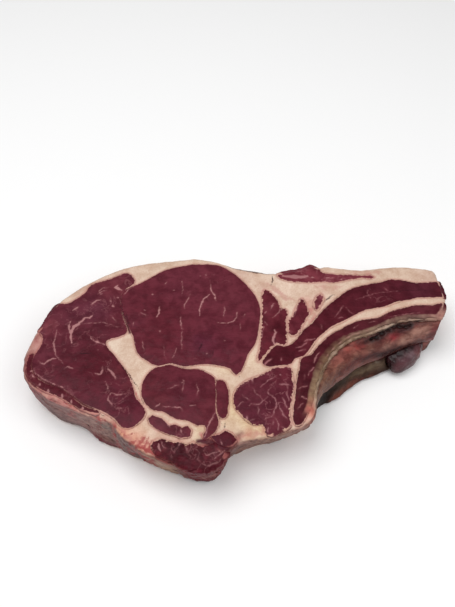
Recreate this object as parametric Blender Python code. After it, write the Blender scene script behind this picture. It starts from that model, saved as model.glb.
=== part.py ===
"""Bone-in ribeye steak, raw, lying flat on its lower cut face.

The steak is one slab between two saw cuts. Fat fills the slab and holds a pocket for every muscle,
and each muscle runs through from the upper cut to the lower one. The rib lies in the lower right side
of the slab, with the muscle of the gap between two ribs above and below it.
All outlines are drawn on the upper cut face, in millimetres from the drawing's own centre: x runs towards
the rib's end, y towards the fat on the animal's back. `warp` then leans and swells everything alike,
so the pieces stay clear of each other.
"""

import math

import bmesh
import bpy
from mathutils import Vector, kdtree, noise

MM = 0.001

# Driving sizes, in millimetres.
THICKNESS = 42.0
RIM_RADIUS = 2.6
SEAM_GAP = 0.5
BONE_GAP = 0.6
OVERSHOOT = 3.0
SPLIT_WAY = (0.83, 0.56, 0.0)
CELL = 13.0
WALL_LEVELS = (14.0, 29.0)
FINE_SPACING = 6.0
WELD = 0.005
FACING_UP = 0.9
UPRIGHT = 0.1
SHARP_ANGLE = 40.0
ROUGHNESS = 0.38
DRAWING_CENTRE = (0.1, 4.9)

# The rib: its section's half sizes, the height of its middle, and the share of it left at the inner end.
RIB_HALF_WIDTH = 6.2
RIB_HALF_HEIGHT = 11.0
RIB_HEIGHT = 26.5
RIB_INNER_SHARE = 0.72
RIB_TAPER_POINTS = 5

# The intercostal muscle stops this far above and below the rib's middle.
INTERCOSTAL_ABOVE = 35.5
INTERCOSTAL_BELOW = 20.0

# How far the muscles' cut faces crown above their rims, and the fat sinks.
MUSCLE_CROWN = 0.9
FAT_CROWN = -0.3
CROWN_REACH = 7.0

SLAB = [
    (153.8, 81), (142, 84), (128, 85.4), (113, 84), (96.2, 81.6), (81, 83.2), (74.5, 84.2), (67.5, 85.4),
    (62, 84), (57.5, 86.8), (50, 83.6), (44, 81.4), (36, 80), (30, 78), (14, 78.8), (4, 81), (-6, 83.8),
    (-17, 88.8), (-27.5, 92), (-38, 93.2), (-50, 92.4), (-62, 91), (-75, 89), (-86.3, 85.6),
    (-96.5, 81.2), (-107, 75.8), (-117.5, 69.2), (-128, 61), (-137, 52.4), (-143.4, 43.4), (-147.8, 34),
    (-151, 25.4), (-153.8, 21.4), (-156.4, 13.6), (-158.2, 5.4), (-158.6, -4.4), (-157.6, -13.4),
    (-154.6, -20.2), (-148, -25.6), (-140, -32), (-130, -36.5), (-119, -42.3), (-108, -46.7),
    (-97, -49.3), (-90, -53), (-85.5, -59.5), (-79, -66), (-70, -72.3), (-61, -76.7), (-50, -81),
    (-40, -84.4), (-30, -86.3), (-20, -85.2), (-13.5, -81.3), (-9.5, -75), (-4, -70.4), (5, -66.8),
    (15, -65.2), (23, -63.4), (32, -59.6), (42, -55.3), (48.5, -50.5), (51.5, -42), (52.6, -32),
    (55.2, -20), (58.6, -10.5), (62, -3.4), (67.5, 4.6), (74.5, 11.2), (82.5, 16.6), (92, 20),
    (102, 23.8), (112, 27.8), (122, 32), (134, 33.8), (145, 34), (150.4, 34.8), (153.6, 38.2),
    (156, 42.6), (157.8, 47.6), (159, 53.5), (158.4, 59.5), (158, 65), (156.2, 71), (155.4, 77),
]

# The muscles, in the order they are met from the back's ridge to the rib's end.
MUSCLES = {
    "eye_muscle": [
        (-91.2, 50), (-88.6, 60), (-80, 65.3), (-70.5, 72.2), (-59.5, 80.2), (-47, 84.2), (-33, 85.4),
        (-18, 84), (-10.3, 79), (0, 69.5), (8, 58.4), (13.3, 47), (14.6, 36), (12.7, 22.5), (10.2, 10.5),
        (4.5, 1), (0.8, -8.5), (-4.3, -15.6), (-8.3, -10.6), (-17, -7.9), (-25, -6.6), (-32, -7),
        (-41, -8.8), (-51, -6.4), (-59.5, -8.7), (-68, -4.2), (-75.8, 3), (-79.6, 16), (-84.3, 27.5),
        (-89.5, 39),
    ],
    "cap_muscle": [
        (-83.4, 67), (-84.4, 71.2), (-89.4, 76), (-95, 74), (-101.5, 70.2), (-110, 67.6), (-117, 64),
        (-120.2, 57.4), (-127, 50), (-133, 46), (-140, 46.5), (-148, 41), (-152, 31), (-151.6, 23.5),
        (-147.2, 17.4), (-146.6, 12), (-149, 5.5), (-151.2, -1), (-150.2, -9.5), (-146, -15.6),
        (-139.5, -19.8), (-131.5, -23.6), (-125.5, -27), (-118.5, -32.2), (-109.5, -38.8), (-100.5, -43),
        (-92.5, -47), (-87, -51.2), (-83, -55.4), (-78, -57.6), (-72.3, -54.4), (-67.4, -49),
        (-67.6, -43.6), (-71, -38.6), (-74.8, -33.5), (-76, -28.4), (-80.4, -17.5), (-86.5, -8),
        (-93.5, 0.8), (-99.6, 8.8), (-99.6, 12.8), (-92, 16), (-85.3, 20), (-86.2, 25.6), (-91.2, 37.6),
        (-92.9, 50), (-90.6, 60.2), (-86, 63.8),
    ],
    "rim_muscle": [
        (-153.4, 2), (-152.8, -5), (-151.4, -11.5), (-147.5, -17.3), (-140.5, -21.8), (-132.5, -25.6),
        (-126.6, -29), (-119.5, -34.2), (-110.5, -40.8), (-103, -43.8), (-98.5, -45.8), (-104, -45.6),
        (-111.5, -42.8), (-119, -38.8), (-126.5, -34), (-134, -30.6), (-141.5, -27), (-148, -22.6),
        (-153, -16.6), (-154.9, -9), (-154.9, -1.5),
    ],
    "complexus": [
        (-62, -10.8), (-57, -9.4), (-51.5, -8.3), (-44, -10.6), (-37, -11.6), (-30.8, -11.4), (-25, -14.6),
        (-19.6, -18.8), (-19, -30), (-18.9, -40), (-18.2, -46), (-16.4, -52), (-18, -58.6), (-22.5, -63.6),
        (-26.2, -65.2), (-24.6, -59.5), (-25.2, -55.3), (-30.5, -55.2), (-37, -51.7), (-43.5, -50.6),
        (-49, -48.4), (-54.6, -45.2), (-60.5, -44.4), (-66, -40), (-69.8, -33), (-70.2, -25), (-67.6, -17),
    ],
    "complexus_slip": [
        (-17.6, -21.4), (-13.8, -20.6), (-11.2, -24.5), (-9.5, -33), (-9.8, -43), (-10.9, -48.6),
        (-13.4, -50), (-15.7, -48), (-17.2, -42), (-17.6, -31),
    ],
    "multifidus": [
        (-64.3, -50.6), (-61.5, -48.7), (-55.5, -50.6), (-49.6, -56), (-45.5, -54.9), (-41, -57.5),
        (-37.4, -56), (-34.9, -59.3), (-36, -63.6), (-41.5, -64.4), (-50.5, -61.5), (-57.5, -58.3),
        (-63, -54.5),
    ],
    "chine_muscle": [
        (-61.2, -69), (-57.8, -65.8), (-52.5, -65.4), (-46.5, -67.8), (-42, -67.2), (-38.5, -70),
        (-33.5, -67.8), (-28.8, -70.2), (-24.5, -70.4), (-20.5, -69.2), (-16.6, -73.2), (-12, -75.2),
        (-7, -79), (-10, -92), (-34, -93), (-41, -84), (-50, -78.6), (-57.5, -75.2),
    ],
    "chine_tip": [
        (-21, -63.6), (-16, -62.6), (-12, -59.8), (-7.5, -62), (-3.9, -66.2), (-7, -69.6), (-12, -70.7),
        (-15.6, -69.4), (-19, -66.6),
    ],
    "costal_muscle": [
        (-5.7, -33), (-3.4, -27), (1.5, -22.4), (8, -19), (15, -16.3), (22.5, -11.6), (29.5, -10.2),
        (34.8, -10.2), (36.2, -16), (35.8, -27), (34, -38), (32.5, -47), (33.2, -54), (31, -57.4),
        (25, -60.6), (18.7, -62.8), (15.6, -60.8), (14, -55), (9, -55.2), (4, -52.7), (0.5, -48.7),
        (-3.3, -44.3), (-5.5, -38.6),
    ],
    "blade_muscle_long": [
        (18.8, 59.2), (24.5, 54), (29, 47.3), (30.7, 41), (32.3, 41.2), (33.8, 41.4), (34.9, 38.5),
        (33.7, 31.5), (33.7, 25), (32.9, 15), (31.2, 9), (27.4, 10.6), (23.2, 9.4), (19.8, 4.8),
        (16, -0.6), (12.8, -5.6), (11.6, -4.2), (12.8, 1.5), (14.2, 12), (15.6, 26), (16.4, 37),
        (16.4, 49), (17.3, 56.8),
    ],
    "blade_muscle_middle": [
        (47.4, 51.4), (49.2, 47.5), (50, 42), (52.2, 37.8), (49.2, 33.2), (46.5, 27.5), (43.5, 21.8),
        (40, 17.9), (37, 17), (35.4, 20), (35.5, 27), (36.2, 32), (39.8, 34.8), (41, 40), (44, 45.5),
        (46, 50.4),
    ],
    "blade_muscle_short": [
        (62.3, 56.4), (63.5, 51.5), (61.4, 46), (58, 40.4), (56, 43), (56.2, 48.5), (58.6, 53.5),
    ],
    "serratus": [
        (17.8, -9.2), (24, -9), (30, -8), (35.6, -6.9), (38.4, -2.6), (42.6, -0.8), (46.8, 2), (50, 6.8),
        (56, 15.5), (61.5, 20.8), (68, 26.4), (75, 29.9), (83.3, 34.4), (94.5, 40.6), (108, 43.9),
        (114.5, 46.6), (121.5, 49.7), (130, 51.7), (137, 54), (146, 54.6), (153, 54.9), (160, 54.9),
        (164, 61), (160, 68.2), (153, 68.2), (146, 67.9), (138, 67.6), (130.5, 69.2), (122, 70.4),
        (115.5, 69.6), (111, 67.4), (103, 66), (93, 63.2), (83.5, 59.3), (76, 53.6), (67.7, 46), (60, 37),
        (53.8, 28.7), (46.8, 22.3), (40.4, 13.4), (31.6, 7.2), (27, 8.6), (23.4, 7), (20.3, 2.8),
        (17, -2.6), (15.6, -6.6),
    ],
    "back_strip": [
        (31, 72.2), (36, 69.8), (43, 68.2), (57, 67.9), (64, 68.7), (71, 68), (80, 69.3), (88, 70.9),
        (96, 72.4), (105, 72.9), (96, 74.4), (80, 75.2), (70, 76.4), (64.6, 78), (61.5, 84), (56, 88),
        (46, 84), (36, 80), (29.4, 76),
    ],
}

# The muscle between two ribs, from beside the backbone outwards and back.
# Above the rib a skin of fat covers its side.
# Below the rib its side is bare, so there its outline runs out past the slab.
INTERCOSTAL_INNER = [
    (36.7, -54.2), (35.7, -47), (36.4, -39), (38, -30), (39.5, -20), (42.4, -9), (43.6, -2.9),
    (47.2, -0.4), (51, 0.8), (54.8, 6), (59.8, 11.6), (64.5, 16.2), (69.5, 20), (76, 23.8), (84, 28.3),
    (92, 31), (101, 32.3), (107, 34.5), (112.5, 38.3), (124, 42.6), (131, 45), (139, 46.3), (147, 46.2),
    (164, 47.6),
]
INTERCOSTAL_COVERED = [
    (164, 37.6), (146, 36.4), (134, 35.8), (121, 34.2), (111, 29.8), (101, 25.8), (91, 22), (81.6, 18.6),
    (73, 12.8), (66, 6.2), (60, -2.8), (56, -11.4), (52.4, -20.8), (49.4, -31), (47.4, -40), (43.8, -47.6),
    (40, -53.4),
]
INTERCOSTAL_BARE = [
    (166, 24), (146, 22), (126, 18), (106, 8), (88, -2), (72, -16), (64, -28), (58, -36), (50.5, -38),
    (46, -44), (42, -50),
]

# The rib's middle line, from beside the backbone out past its sawn end.
RIB_LINE = [
    (45.8, -44), (47.8, -33), (51.6, -20), (56.6, -8.5), (64, 3.4), (73.5, 13), (84.5, 19.8), (97, 24.2),
    (111, 29.4), (124, 33.8), (137, 36), (150, 36.6), (160, 36.8),
]

# The saw cut across the rib's end, flush with the slab's: a point on it and the way it faces.
RIB_SAW_POINT = (153.2, 36.6)
RIB_SAW_WAY = (0.88, -0.48, 0.0)

# The stub of muscle left on the lower end of the rib: its middle, half sizes and turn in plan.
STUB_MIDDLE = (124.5, 30.0, 10.4)
STUB_HALF_SIZES = (18.5, 8.6, 8.8)
STUB_TURN = 21.0
STUB_SQUARENESS = 0.8

# How the side walls lean from the upper cut to the lower: middle, reach and shift at the lower face.
LEANS = [
    ((82, 8), 27, (9.5, -14)),
    ((66, 0), 13, (1.5, -4.5)),
    ((122, 28), 24, (4, -10)),
    ((30, -55), 26, (0.5, 14)),
    ((48, -49), 9, (0, 3)),
    ((4, -68), 15, (0, 5)),
    ((-38, -84), 20, (1, 9)),
    ((-72, -71), 14, (2, 5)),
    ((-98, -51), 7, (-2, -4)),
    ((-116, -43), 9, (0, 6)),
    ((-143, -29), 11, (1, 4.5)),
    ((-156, -16), 7, (2.5, 3)),
    ((-11, -78), 7, (-2.5, 4)),
    ((155, 36), 13, (-5, 1)),
    ((-60, 86), 40, (-1, 3)),
    ((60, 80), 34, (0, 2.5)),
]

# Where the upper face sags towards its edge: middle, reach, and the drop.
SAGS = [
    ((-30, -88), 13, 5.0),
    ((-62, -78), 12, 2.2),
    ((-156, 8), 14, 2.5),
    ((40, -58), 14, 2.0),
    ((-60, 92), 22, 1.6),
    ((60, 84), 16, 1.4),
    ((160, 60), 30, 1.8),
]

SWELL = 0.9
SWELL_SIZE = 46.0
WOBBLE = 0.7
WOBBLE_SIZE = 21.0
WOBBLE_LAYER = 63.0  # how far apart the noise for x and the noise for y are read

COLOURS = {
    "fat": (0.72, 0.58, 0.47),
    "muscle": (0.20, 0.035, 0.045),
    "dark_muscle": (0.14, 0.02, 0.03),
    "membrane": (0.20, 0.14, 0.11),
    "bone": (0.42, 0.22, 0.17),
    "stub": (0.20, 0.09, 0.10),
}
UNLIKE_MUSCLES = {"intercostal_upper": "dark_muscle", "intercostal_lower": "membrane"}


def clear_scene():
    for obj in list(bpy.data.objects):
        bpy.data.objects.remove(obj, do_unlink=True)


def new_collection(name, helper=False):
    collection = bpy.data.collections.new(name)
    bpy.context.scene.collection.children.link(collection)
    collection.hide_render = helper
    return collection


def new_material(name, colour):
    material = bpy.data.materials.new(name)
    material.use_nodes = True
    shader = material.node_tree.nodes["Principled BSDF"]
    shader.inputs["Base Color"].default_value = (*colour, 1.0)
    shader.inputs["Roughness"].default_value = ROUGHNESS
    shader.inputs["Metallic"].default_value = 0.0
    return material


def evaluated_mesh(obj):
    bpy.context.view_layer.update()
    graph = bpy.context.evaluated_depsgraph_get()
    return bpy.data.meshes.new_from_object(obj.evaluated_get(graph))


def as_mesh_object(obj):
    """The curve or modified mesh as a plain mesh object of the same name, with its caps welded."""
    mesh = evaluated_mesh(obj)
    name, matrix, collection = obj.name, obj.matrix_world.copy(), obj.users_collection[0]
    bpy.data.objects.remove(obj, do_unlink=True)
    mesh.transform(matrix)
    bm = bmesh.new()
    bm.from_mesh(mesh)
    bmesh.ops.remove_doubles(bm, verts=bm.verts, dist=WELD * MM)
    bmesh.ops.dissolve_limit(bm, angle_limit=math.radians(0.2), verts=bm.verts, edges=bm.edges)
    bmesh.ops.recalc_face_normals(bm, faces=bm.faces)
    bm.to_mesh(mesh)
    bm.free()
    solid = bpy.data.objects.new(name, mesh)
    collection.objects.link(solid)
    return solid


def prism(name, outline, low, high, collection, grow=0.0, rim=0.0):
    """A flat outline extruded between two heights, grown sideways, with its rims rounded."""
    curve = bpy.data.curves.new(name, "CURVE")
    curve.dimensions = "2D"
    curve.fill_mode = "BOTH"
    length = sum(math.dist(a, b) for a, b in zip(outline, outline[1:] + outline[:1]))
    curve.resolution_u = 2 if length / len(outline) > FINE_SPACING else 1
    curve.extrude = (high - low) / 2 * MM - rim * MM
    curve.bevel_depth = rim * MM
    curve.bevel_resolution = 0
    curve.offset = (grow - rim) * MM
    spline = curve.splines.new("BEZIER")
    spline.use_cyclic_u = True
    spline.bezier_points.add(len(outline) - 1)
    for point, (x, y) in zip(spline.bezier_points, outline):
        point.co = ((x - DRAWING_CENTRE[0]) * MM, (y - DRAWING_CENTRE[1]) * MM, 0)
        point.handle_left_type = point.handle_right_type = "AUTO"
    obj = bpy.data.objects.new(name, curve)
    obj.location.z = (low + high) / 2 * MM
    collection.objects.link(obj)
    return as_mesh_object(obj)


def cut_on_planes(obj):
    """Gives the slab's upper face a grid of points and its walls a few levels, for the warp to shape."""
    bm = bmesh.new()
    bm.from_mesh(obj.data)
    low_x, high_x = min(v.co.x for v in bm.verts), max(v.co.x for v in bm.verts)
    low_y, high_y = min(v.co.y for v in bm.verts), max(v.co.y for v in bm.verts)
    cell = CELL * MM
    planes = [((low_x + cell * n, 0, 0), (1, 0, 0)) for n in range(1, math.ceil((high_x - low_x) / cell))]
    planes += [((0, low_y + cell * n, 0), (0, 1, 0)) for n in range(1, math.ceil((high_y - low_y) / cell))]
    for point, normal in planes:
        top = [f for f in bm.faces if f.normal.z > FACING_UP]
        edges = dict.fromkeys(e for f in top for e in f.edges)
        verts = dict.fromkeys(v for f in top for v in f.verts)
        bmesh.ops.bisect_plane(bm, geom=[*verts, *edges, *top], dist=1e-6, plane_co=point, plane_no=normal)
    for level in WALL_LEVELS:
        geometry = bm.verts[:] + bm.edges[:] + bm.faces[:]
        bmesh.ops.bisect_plane(bm, geom=geometry, dist=1e-6, plane_co=(0, 0, level * MM), plane_no=(0, 0, 1))
    bm.to_mesh(obj.data)
    bm.free()


def boolean(obj, operation, tool):
    """Applies one Boolean with an object or with a collection of them."""
    modifier = obj.modifiers.new(operation, "BOOLEAN")
    modifier.operation = operation
    modifier.solver = "EXACT"
    if isinstance(tool, bpy.types.Collection):
        modifier.operand_type = "COLLECTION"
        modifier.collection = tool
    else:
        modifier.object = tool
    mesh = evaluated_mesh(obj)
    obj.modifiers.clear()
    obj.data = mesh
    return obj


def copy_of(obj, name, collection):
    copy = bpy.data.objects.new(name, obj.data.copy())
    collection.objects.link(copy)
    return copy


def rib_bar(name, collection, grow=0.0):
    """The rib as a bent bar of oval section, thinner towards the backbone, sawn flat at its far end."""
    section = bpy.data.curves.new(name + "_section", "CURVE")
    section.dimensions = "2D"
    section.resolution_u = 4
    loop = section.splines.new("BEZIER")
    loop.use_cyclic_u = True
    loop.bezier_points.add(3)
    width, height = (RIB_HALF_WIDTH + grow) * MM, (RIB_HALF_HEIGHT + grow) * MM
    for point, corner in zip(loop.bezier_points, ((width, 0), (0, height), (-width, 0), (0, -height))):
        point.co = (*corner, 0)
        point.handle_left_type = point.handle_right_type = "AUTO"
    section_object = bpy.data.objects.new(name + "_section", section)
    collection.objects.link(section_object)

    path = bpy.data.curves.new(name, "CURVE")
    path.dimensions = "3D"
    path.twist_mode = "Z_UP"
    path.resolution_u = 2
    path.bevel_mode = "OBJECT"
    path.bevel_object = section_object
    path.use_fill_caps = True
    line = [(x - DRAWING_CENTRE[0], y - DRAWING_CENTRE[1]) for x, y in RIB_LINE]
    if grow:
        first, last = Vector(line[0]), Vector(line[-1])
        line = [first + (first - Vector(line[1])).normalized() * grow, *line]
        line.append(last + Vector((OVERSHOOT, 0)))
    spline = path.splines.new("BEZIER")
    spline.bezier_points.add(len(line) - 1)
    for n, (point, (x, y)) in enumerate(zip(spline.bezier_points, line)):
        point.co = (x * MM, y * MM, RIB_HEIGHT * MM)
        point.handle_left_type = point.handle_right_type = "AUTO"
        share = min(1.0, max(0, n - (grow > 0)) / RIB_TAPER_POINTS)
        point.radius = RIB_INNER_SHARE + (1 - RIB_INNER_SHARE) * share
    rib = bpy.data.objects.new(name, path)
    collection.objects.link(rib)
    solid = as_mesh_object(rib)
    bpy.data.objects.remove(section_object, do_unlink=True)
    return solid


def saw_off(obj, point, way):
    """Saws the end off a solid on an upright plane, and closes the cut."""
    x, y = point[0] - DRAWING_CENTRE[0], point[1] - DRAWING_CENTRE[1]
    bm = bmesh.new()
    bm.from_mesh(obj.data)
    geometry = bm.verts[:] + bm.edges[:] + bm.faces[:]
    cut = bmesh.ops.bisect_plane(
        bm, geom=geometry, dist=1e-6, plane_co=(x * MM, y * MM, 0), plane_no=way, clear_outer=True
    )
    rim = [part for part in cut["geom_cut"] if isinstance(part, bmesh.types.BMEdge)]
    bmesh.ops.edgeloop_fill(bm, edges=rim)
    bm.to_mesh(obj.data)
    bm.free()
    return obj


def stub_lump(name, collection, grow=0.0):
    """The stub as a lump squashed from a sphere, lying against the wall under the rib."""
    bm = bmesh.new()
    bmesh.ops.create_uvsphere(bm, u_segments=20, v_segments=12, radius=1.0)
    turn = math.radians(STUB_TURN)
    for vert in bm.verts:
        squared = (math.copysign(abs(c) ** STUB_SQUARENESS, c) for c in vert.co)
        x, y, z = (c * (half + grow) for c, half in zip(squared, STUB_HALF_SIZES))
        vert.co = Vector((
            STUB_MIDDLE[0] - DRAWING_CENTRE[0] + x * math.cos(turn) - y * math.sin(turn),
            STUB_MIDDLE[1] - DRAWING_CENTRE[1] + x * math.sin(turn) + y * math.cos(turn),
            STUB_MIDDLE[2] + z,
        )) * MM
    mesh = bpy.data.meshes.new(name)
    bm.to_mesh(mesh)
    bm.free()
    lump = bpy.data.objects.new(name, mesh)
    collection.objects.link(lump)
    return lump


def bell(x, y, middle, reach):
    return math.exp(-((x - middle[0]) ** 2 + (y - middle[1]) ** 2) / (2 * reach**2))


def warp(point):
    """Leans the side walls, sags the edges and swells the upper face. Height 0 stays flat."""
    x = point.x / MM + DRAWING_CENTRE[0]
    y = point.y / MM + DRAWING_CENTRE[1]
    z = point.z / MM
    share = z / THICKNESS
    lean_x = sum(shift[0] * bell(x, y, middle, reach) for middle, reach, shift in LEANS)
    lean_y = sum(shift[1] * bell(x, y, middle, reach) for middle, reach, shift in LEANS)
    sag = sum(drop * bell(x, y, middle, reach) for middle, reach, drop in SAGS)
    swell = SWELL * noise.noise(Vector((x, y, 7.0)) / SWELL_SIZE)
    wobble_x = WOBBLE * noise.noise(Vector((x, y, z)) / WOBBLE_SIZE)
    wobble_y = WOBBLE * noise.noise(Vector((x, y, z + WOBBLE_LAYER)) / WOBBLE_SIZE)
    return Vector((
        point.x + (lean_x * (1 - share) + wobble_x) * MM,
        point.y + (lean_y * (1 - share) + wobble_y) * MM,
        point.z + (swell - sag) * share * MM,
    ))


def crown(mesh, height):
    """Raises the middle of the upper cut face above its rim, further in the wider the face."""
    bm = bmesh.new()
    bm.from_mesh(mesh)
    bm.normal_update()
    level = (THICKNESS - RIM_RADIUS / 2) * MM
    top = {f for f in bm.faces if f.normal.z > FACING_UP and f.calc_center_median().z > level}
    rim = {v for f in top for e in f.edges if not all(n in top for n in e.link_faces) for v in e.verts}
    inner = {v for f in top for v in f.verts} - rim
    if inner:
        tree = kdtree.KDTree(len(rim))
        for n, vert in enumerate(rim):
            tree.insert(vert.co, n)
        tree.balance()
        for vert in inner:
            distance = tree.find(vert.co)[2] / MM
            vert.co.z += height * (1 - math.exp(-((distance / CROWN_REACH) ** 2))) * MM
    bm.to_mesh(mesh)
    bm.free()


def split_walls(bm):
    """Splits upright wall faces along the same rising diagonal, in a muscle and its pocket."""
    margin = SEAM_GAP / 5 * MM
    for face in [f for f in bm.faces if abs(f.normal.z) < UPRIGHT]:
        low = min(v.co.z for v in face.verts)
        high = max(v.co.z for v in face.verts)
        feet = [v for v in face.verts if v.co.z < low + margin]
        heads = [v for v in face.verts if v.co.z > high - margin]
        if len(feet) < 2 or len(heads) < 2 or len(feet) + len(heads) != len(face.verts):
            continue
        foot = min(feet, key=lambda v: v.co.dot(Vector(SPLIT_WAY)))
        head = max(heads, key=lambda v: v.co.dot(Vector(SPLIT_WAY)))
        if not any({foot, head} == set(edge.verts) for edge in face.edges):
            bmesh.utils.face_split(face, foot, head)


def finish(obj, material, crown_height=None):
    """Crowns and warps a finished piece, splits its faces into triangles and gives it its material."""
    bm = bmesh.new()
    bm.from_mesh(obj.data)
    bm.normal_update()
    split_walls(bm)
    bmesh.ops.triangulate(bm, faces=bm.faces)
    bm.to_mesh(obj.data)
    bm.free()
    if crown_height is not None:
        crown(obj.data, crown_height)
    for vert in obj.data.vertices:
        vert.co = warp(vert.co)
    obj.data.materials.clear()
    obj.data.materials.append(material)
    obj.data.shade_smooth()
    obj.data.set_sharp_from_angle(angle=math.radians(SHARP_ANGLE))


def build():
    clear_scene()
    steak = new_collection("bone_in_ribeye_steak")
    helpers = new_collection("helpers", helper=True)
    pockets = new_collection("pockets", helper=True)
    materials = {name: new_material(name, colour) for name, colour in COLOURS.items()}

    slab = prism("slab", SLAB, 0, THICKNESS, helpers, rim=RIM_RADIUS)
    cut_on_planes(slab)
    rib_space = rib_bar("rib_space", helpers, grow=BONE_GAP)
    stub_space = stub_lump("stub_space", helpers, grow=BONE_GAP)

    muscles = [(name, outline, -OVERSHOOT, THICKNESS + OVERSHOOT) for name, outline in MUSCLES.items()]
    muscles += [
        ("intercostal_upper", INTERCOSTAL_INNER + INTERCOSTAL_COVERED, INTERCOSTAL_ABOVE,
         THICKNESS + OVERSHOOT),
        ("intercostal_lower", INTERCOSTAL_INNER + INTERCOSTAL_BARE, -OVERSHOOT, INTERCOSTAL_BELOW),
    ]
    for name, outline, low, high in muscles:
        cutter = prism(name + "_cutter", outline, low, high, helpers)
        muscle = boolean(copy_of(slab, name, steak), "INTERSECT", cutter)
        for space in (rib_space, stub_space):
            boolean(muscle, "DIFFERENCE", space)
        grown_low = low - SEAM_GAP if low > 0 else low
        grown_high = high + SEAM_GAP if high < THICKNESS else high
        prism(name + "_pocket", outline, grown_low, grown_high, pockets, grow=SEAM_GAP)
        finish(muscle, materials[UNLIKE_MUSCLES.get(name, "muscle")], MUSCLE_CROWN)

    fat = boolean(copy_of(slab, "fat", steak), "DIFFERENCE", pockets)
    for space in (rib_space, stub_space):
        boolean(fat, "DIFFERENCE", space)
    finish(fat, materials["fat"], FAT_CROWN)

    rib = saw_off(rib_bar("rib_bone", steak), RIB_SAW_POINT, RIB_SAW_WAY)
    stub = boolean(stub_lump("muscle_stub", steak), "DIFFERENCE", rib_space)
    finish(rib, materials["bone"])
    finish(stub, materials["stub"])

    for collection in (helpers, pockets):
        for obj in list(collection.objects):
            bpy.data.objects.remove(obj, do_unlink=True)
        bpy.data.collections.remove(collection)


build()
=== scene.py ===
import math

import bpy
import numpy as np
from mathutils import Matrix, Vector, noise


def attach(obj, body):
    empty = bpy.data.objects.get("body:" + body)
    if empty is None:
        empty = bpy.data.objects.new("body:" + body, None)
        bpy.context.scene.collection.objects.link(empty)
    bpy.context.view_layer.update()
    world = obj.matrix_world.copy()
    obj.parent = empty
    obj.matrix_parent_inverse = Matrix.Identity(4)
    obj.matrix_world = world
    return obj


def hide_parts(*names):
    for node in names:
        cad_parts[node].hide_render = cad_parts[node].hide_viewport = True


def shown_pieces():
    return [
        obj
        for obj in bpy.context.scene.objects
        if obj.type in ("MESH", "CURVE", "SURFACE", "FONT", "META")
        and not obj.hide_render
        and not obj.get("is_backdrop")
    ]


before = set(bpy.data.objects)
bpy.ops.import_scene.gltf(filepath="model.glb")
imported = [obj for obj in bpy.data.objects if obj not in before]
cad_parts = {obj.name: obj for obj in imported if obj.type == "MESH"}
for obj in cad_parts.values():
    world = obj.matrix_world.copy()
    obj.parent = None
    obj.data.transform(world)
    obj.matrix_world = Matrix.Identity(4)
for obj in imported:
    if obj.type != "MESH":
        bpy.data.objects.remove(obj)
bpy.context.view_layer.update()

print("frame loaded")

mm = 0.001
drawingCentre = (0.1, 4.9)  # the outlines' own centre, as in the part's drawing
thickness = 42.0
farAway = 99.0
grownTogether = 1.1  # fat nearer than this to a muscle's rim lies against it
pocketReach = 1.6  # the fat's walls nearer than this to a muscle are its pocket


# small helpers

def tone(*levels):
    # red, green and blue given in 0 to 255, as the shader wants them
    return tuple(((c / 255 + 0.055) / 1.055) ** 2.4 if c > 10 else c / 255 / 12.92 for c in levels)


def pick(piece):
    bpy.ops.object.select_all(action="DESELECT")
    piece.select_set(True)
    bpy.context.view_layer.objects.active = piece


def applyModifiers(piece):
    pick(piece)
    for modifier in list(piece.modifiers):
        bpy.ops.object.modifier_apply(modifier=modifier.name)


def copyNode(nodeName, pieceName):
    piece = bpy.data.objects.new(pieceName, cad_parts[nodeName].data.copy())
    bpy.context.scene.collection.objects.link(piece)
    piece.data.materials.clear()
    pick(piece)
    bpy.ops.object.mode_set(mode="EDIT")
    bpy.ops.mesh.select_all(action="SELECT")
    bpy.ops.mesh.remove_doubles(threshold=0.00001)
    bpy.ops.object.mode_set(mode="OBJECT")
    return piece


def spread(piece):
    # every vertex as drawing millimetres, and its normal
    count = len(piece.data.vertices)
    places = np.empty(count * 3)
    normals = np.empty(count * 3)
    piece.data.vertices.foreach_get("co", places)
    piece.data.vertices.foreach_get("normal", normals)
    places = places.reshape(-1, 3) / mm
    places[:, 0] += drawingCentre[0]
    places[:, 1] += drawingCentre[1]
    return places, normals.reshape(-1, 3)


def ramp(values, low, high):
    share = np.clip((values - low) / (high - low), 0, 1)
    return share * share * (3 - 2 * share)


def wander(places, size, amount):
    # shifts places a little, so that drawn lines look grown and not ruled
    x, y = places[:, 0] / size, places[:, 1] / size
    shiftX = np.sin(1.9 * x + 1.3 * np.sin(2.3 * y + 0.7)) + 0.5 * np.sin(4.3 * y + 2.1 * np.sin(3.1 * x))
    shiftY = np.sin(2.1 * y + 1.7 * np.sin(1.7 * x + 2.9)) + 0.5 * np.sin(3.9 * x + 1.9 * np.sin(3.7 * y))
    return places[:, :2] + amount * np.stack([shiftX, shiftY], 1)


def mottle(places, size, seed):
    # smooth noise from -1 to 1 at every place; size is one length or three
    scaled = places / size + seed * 7.3
    return np.array([noise.noise(Vector(place)) for place in scaled])


def nearestGap(spots, a, b):
    reach = b - a
    t = np.clip(((spots - a) @ reach) / max(reach @ reach, 1e-9), 0, 1)
    return np.hypot(*(spots - a - t[:, None] * reach).T), t


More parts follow.
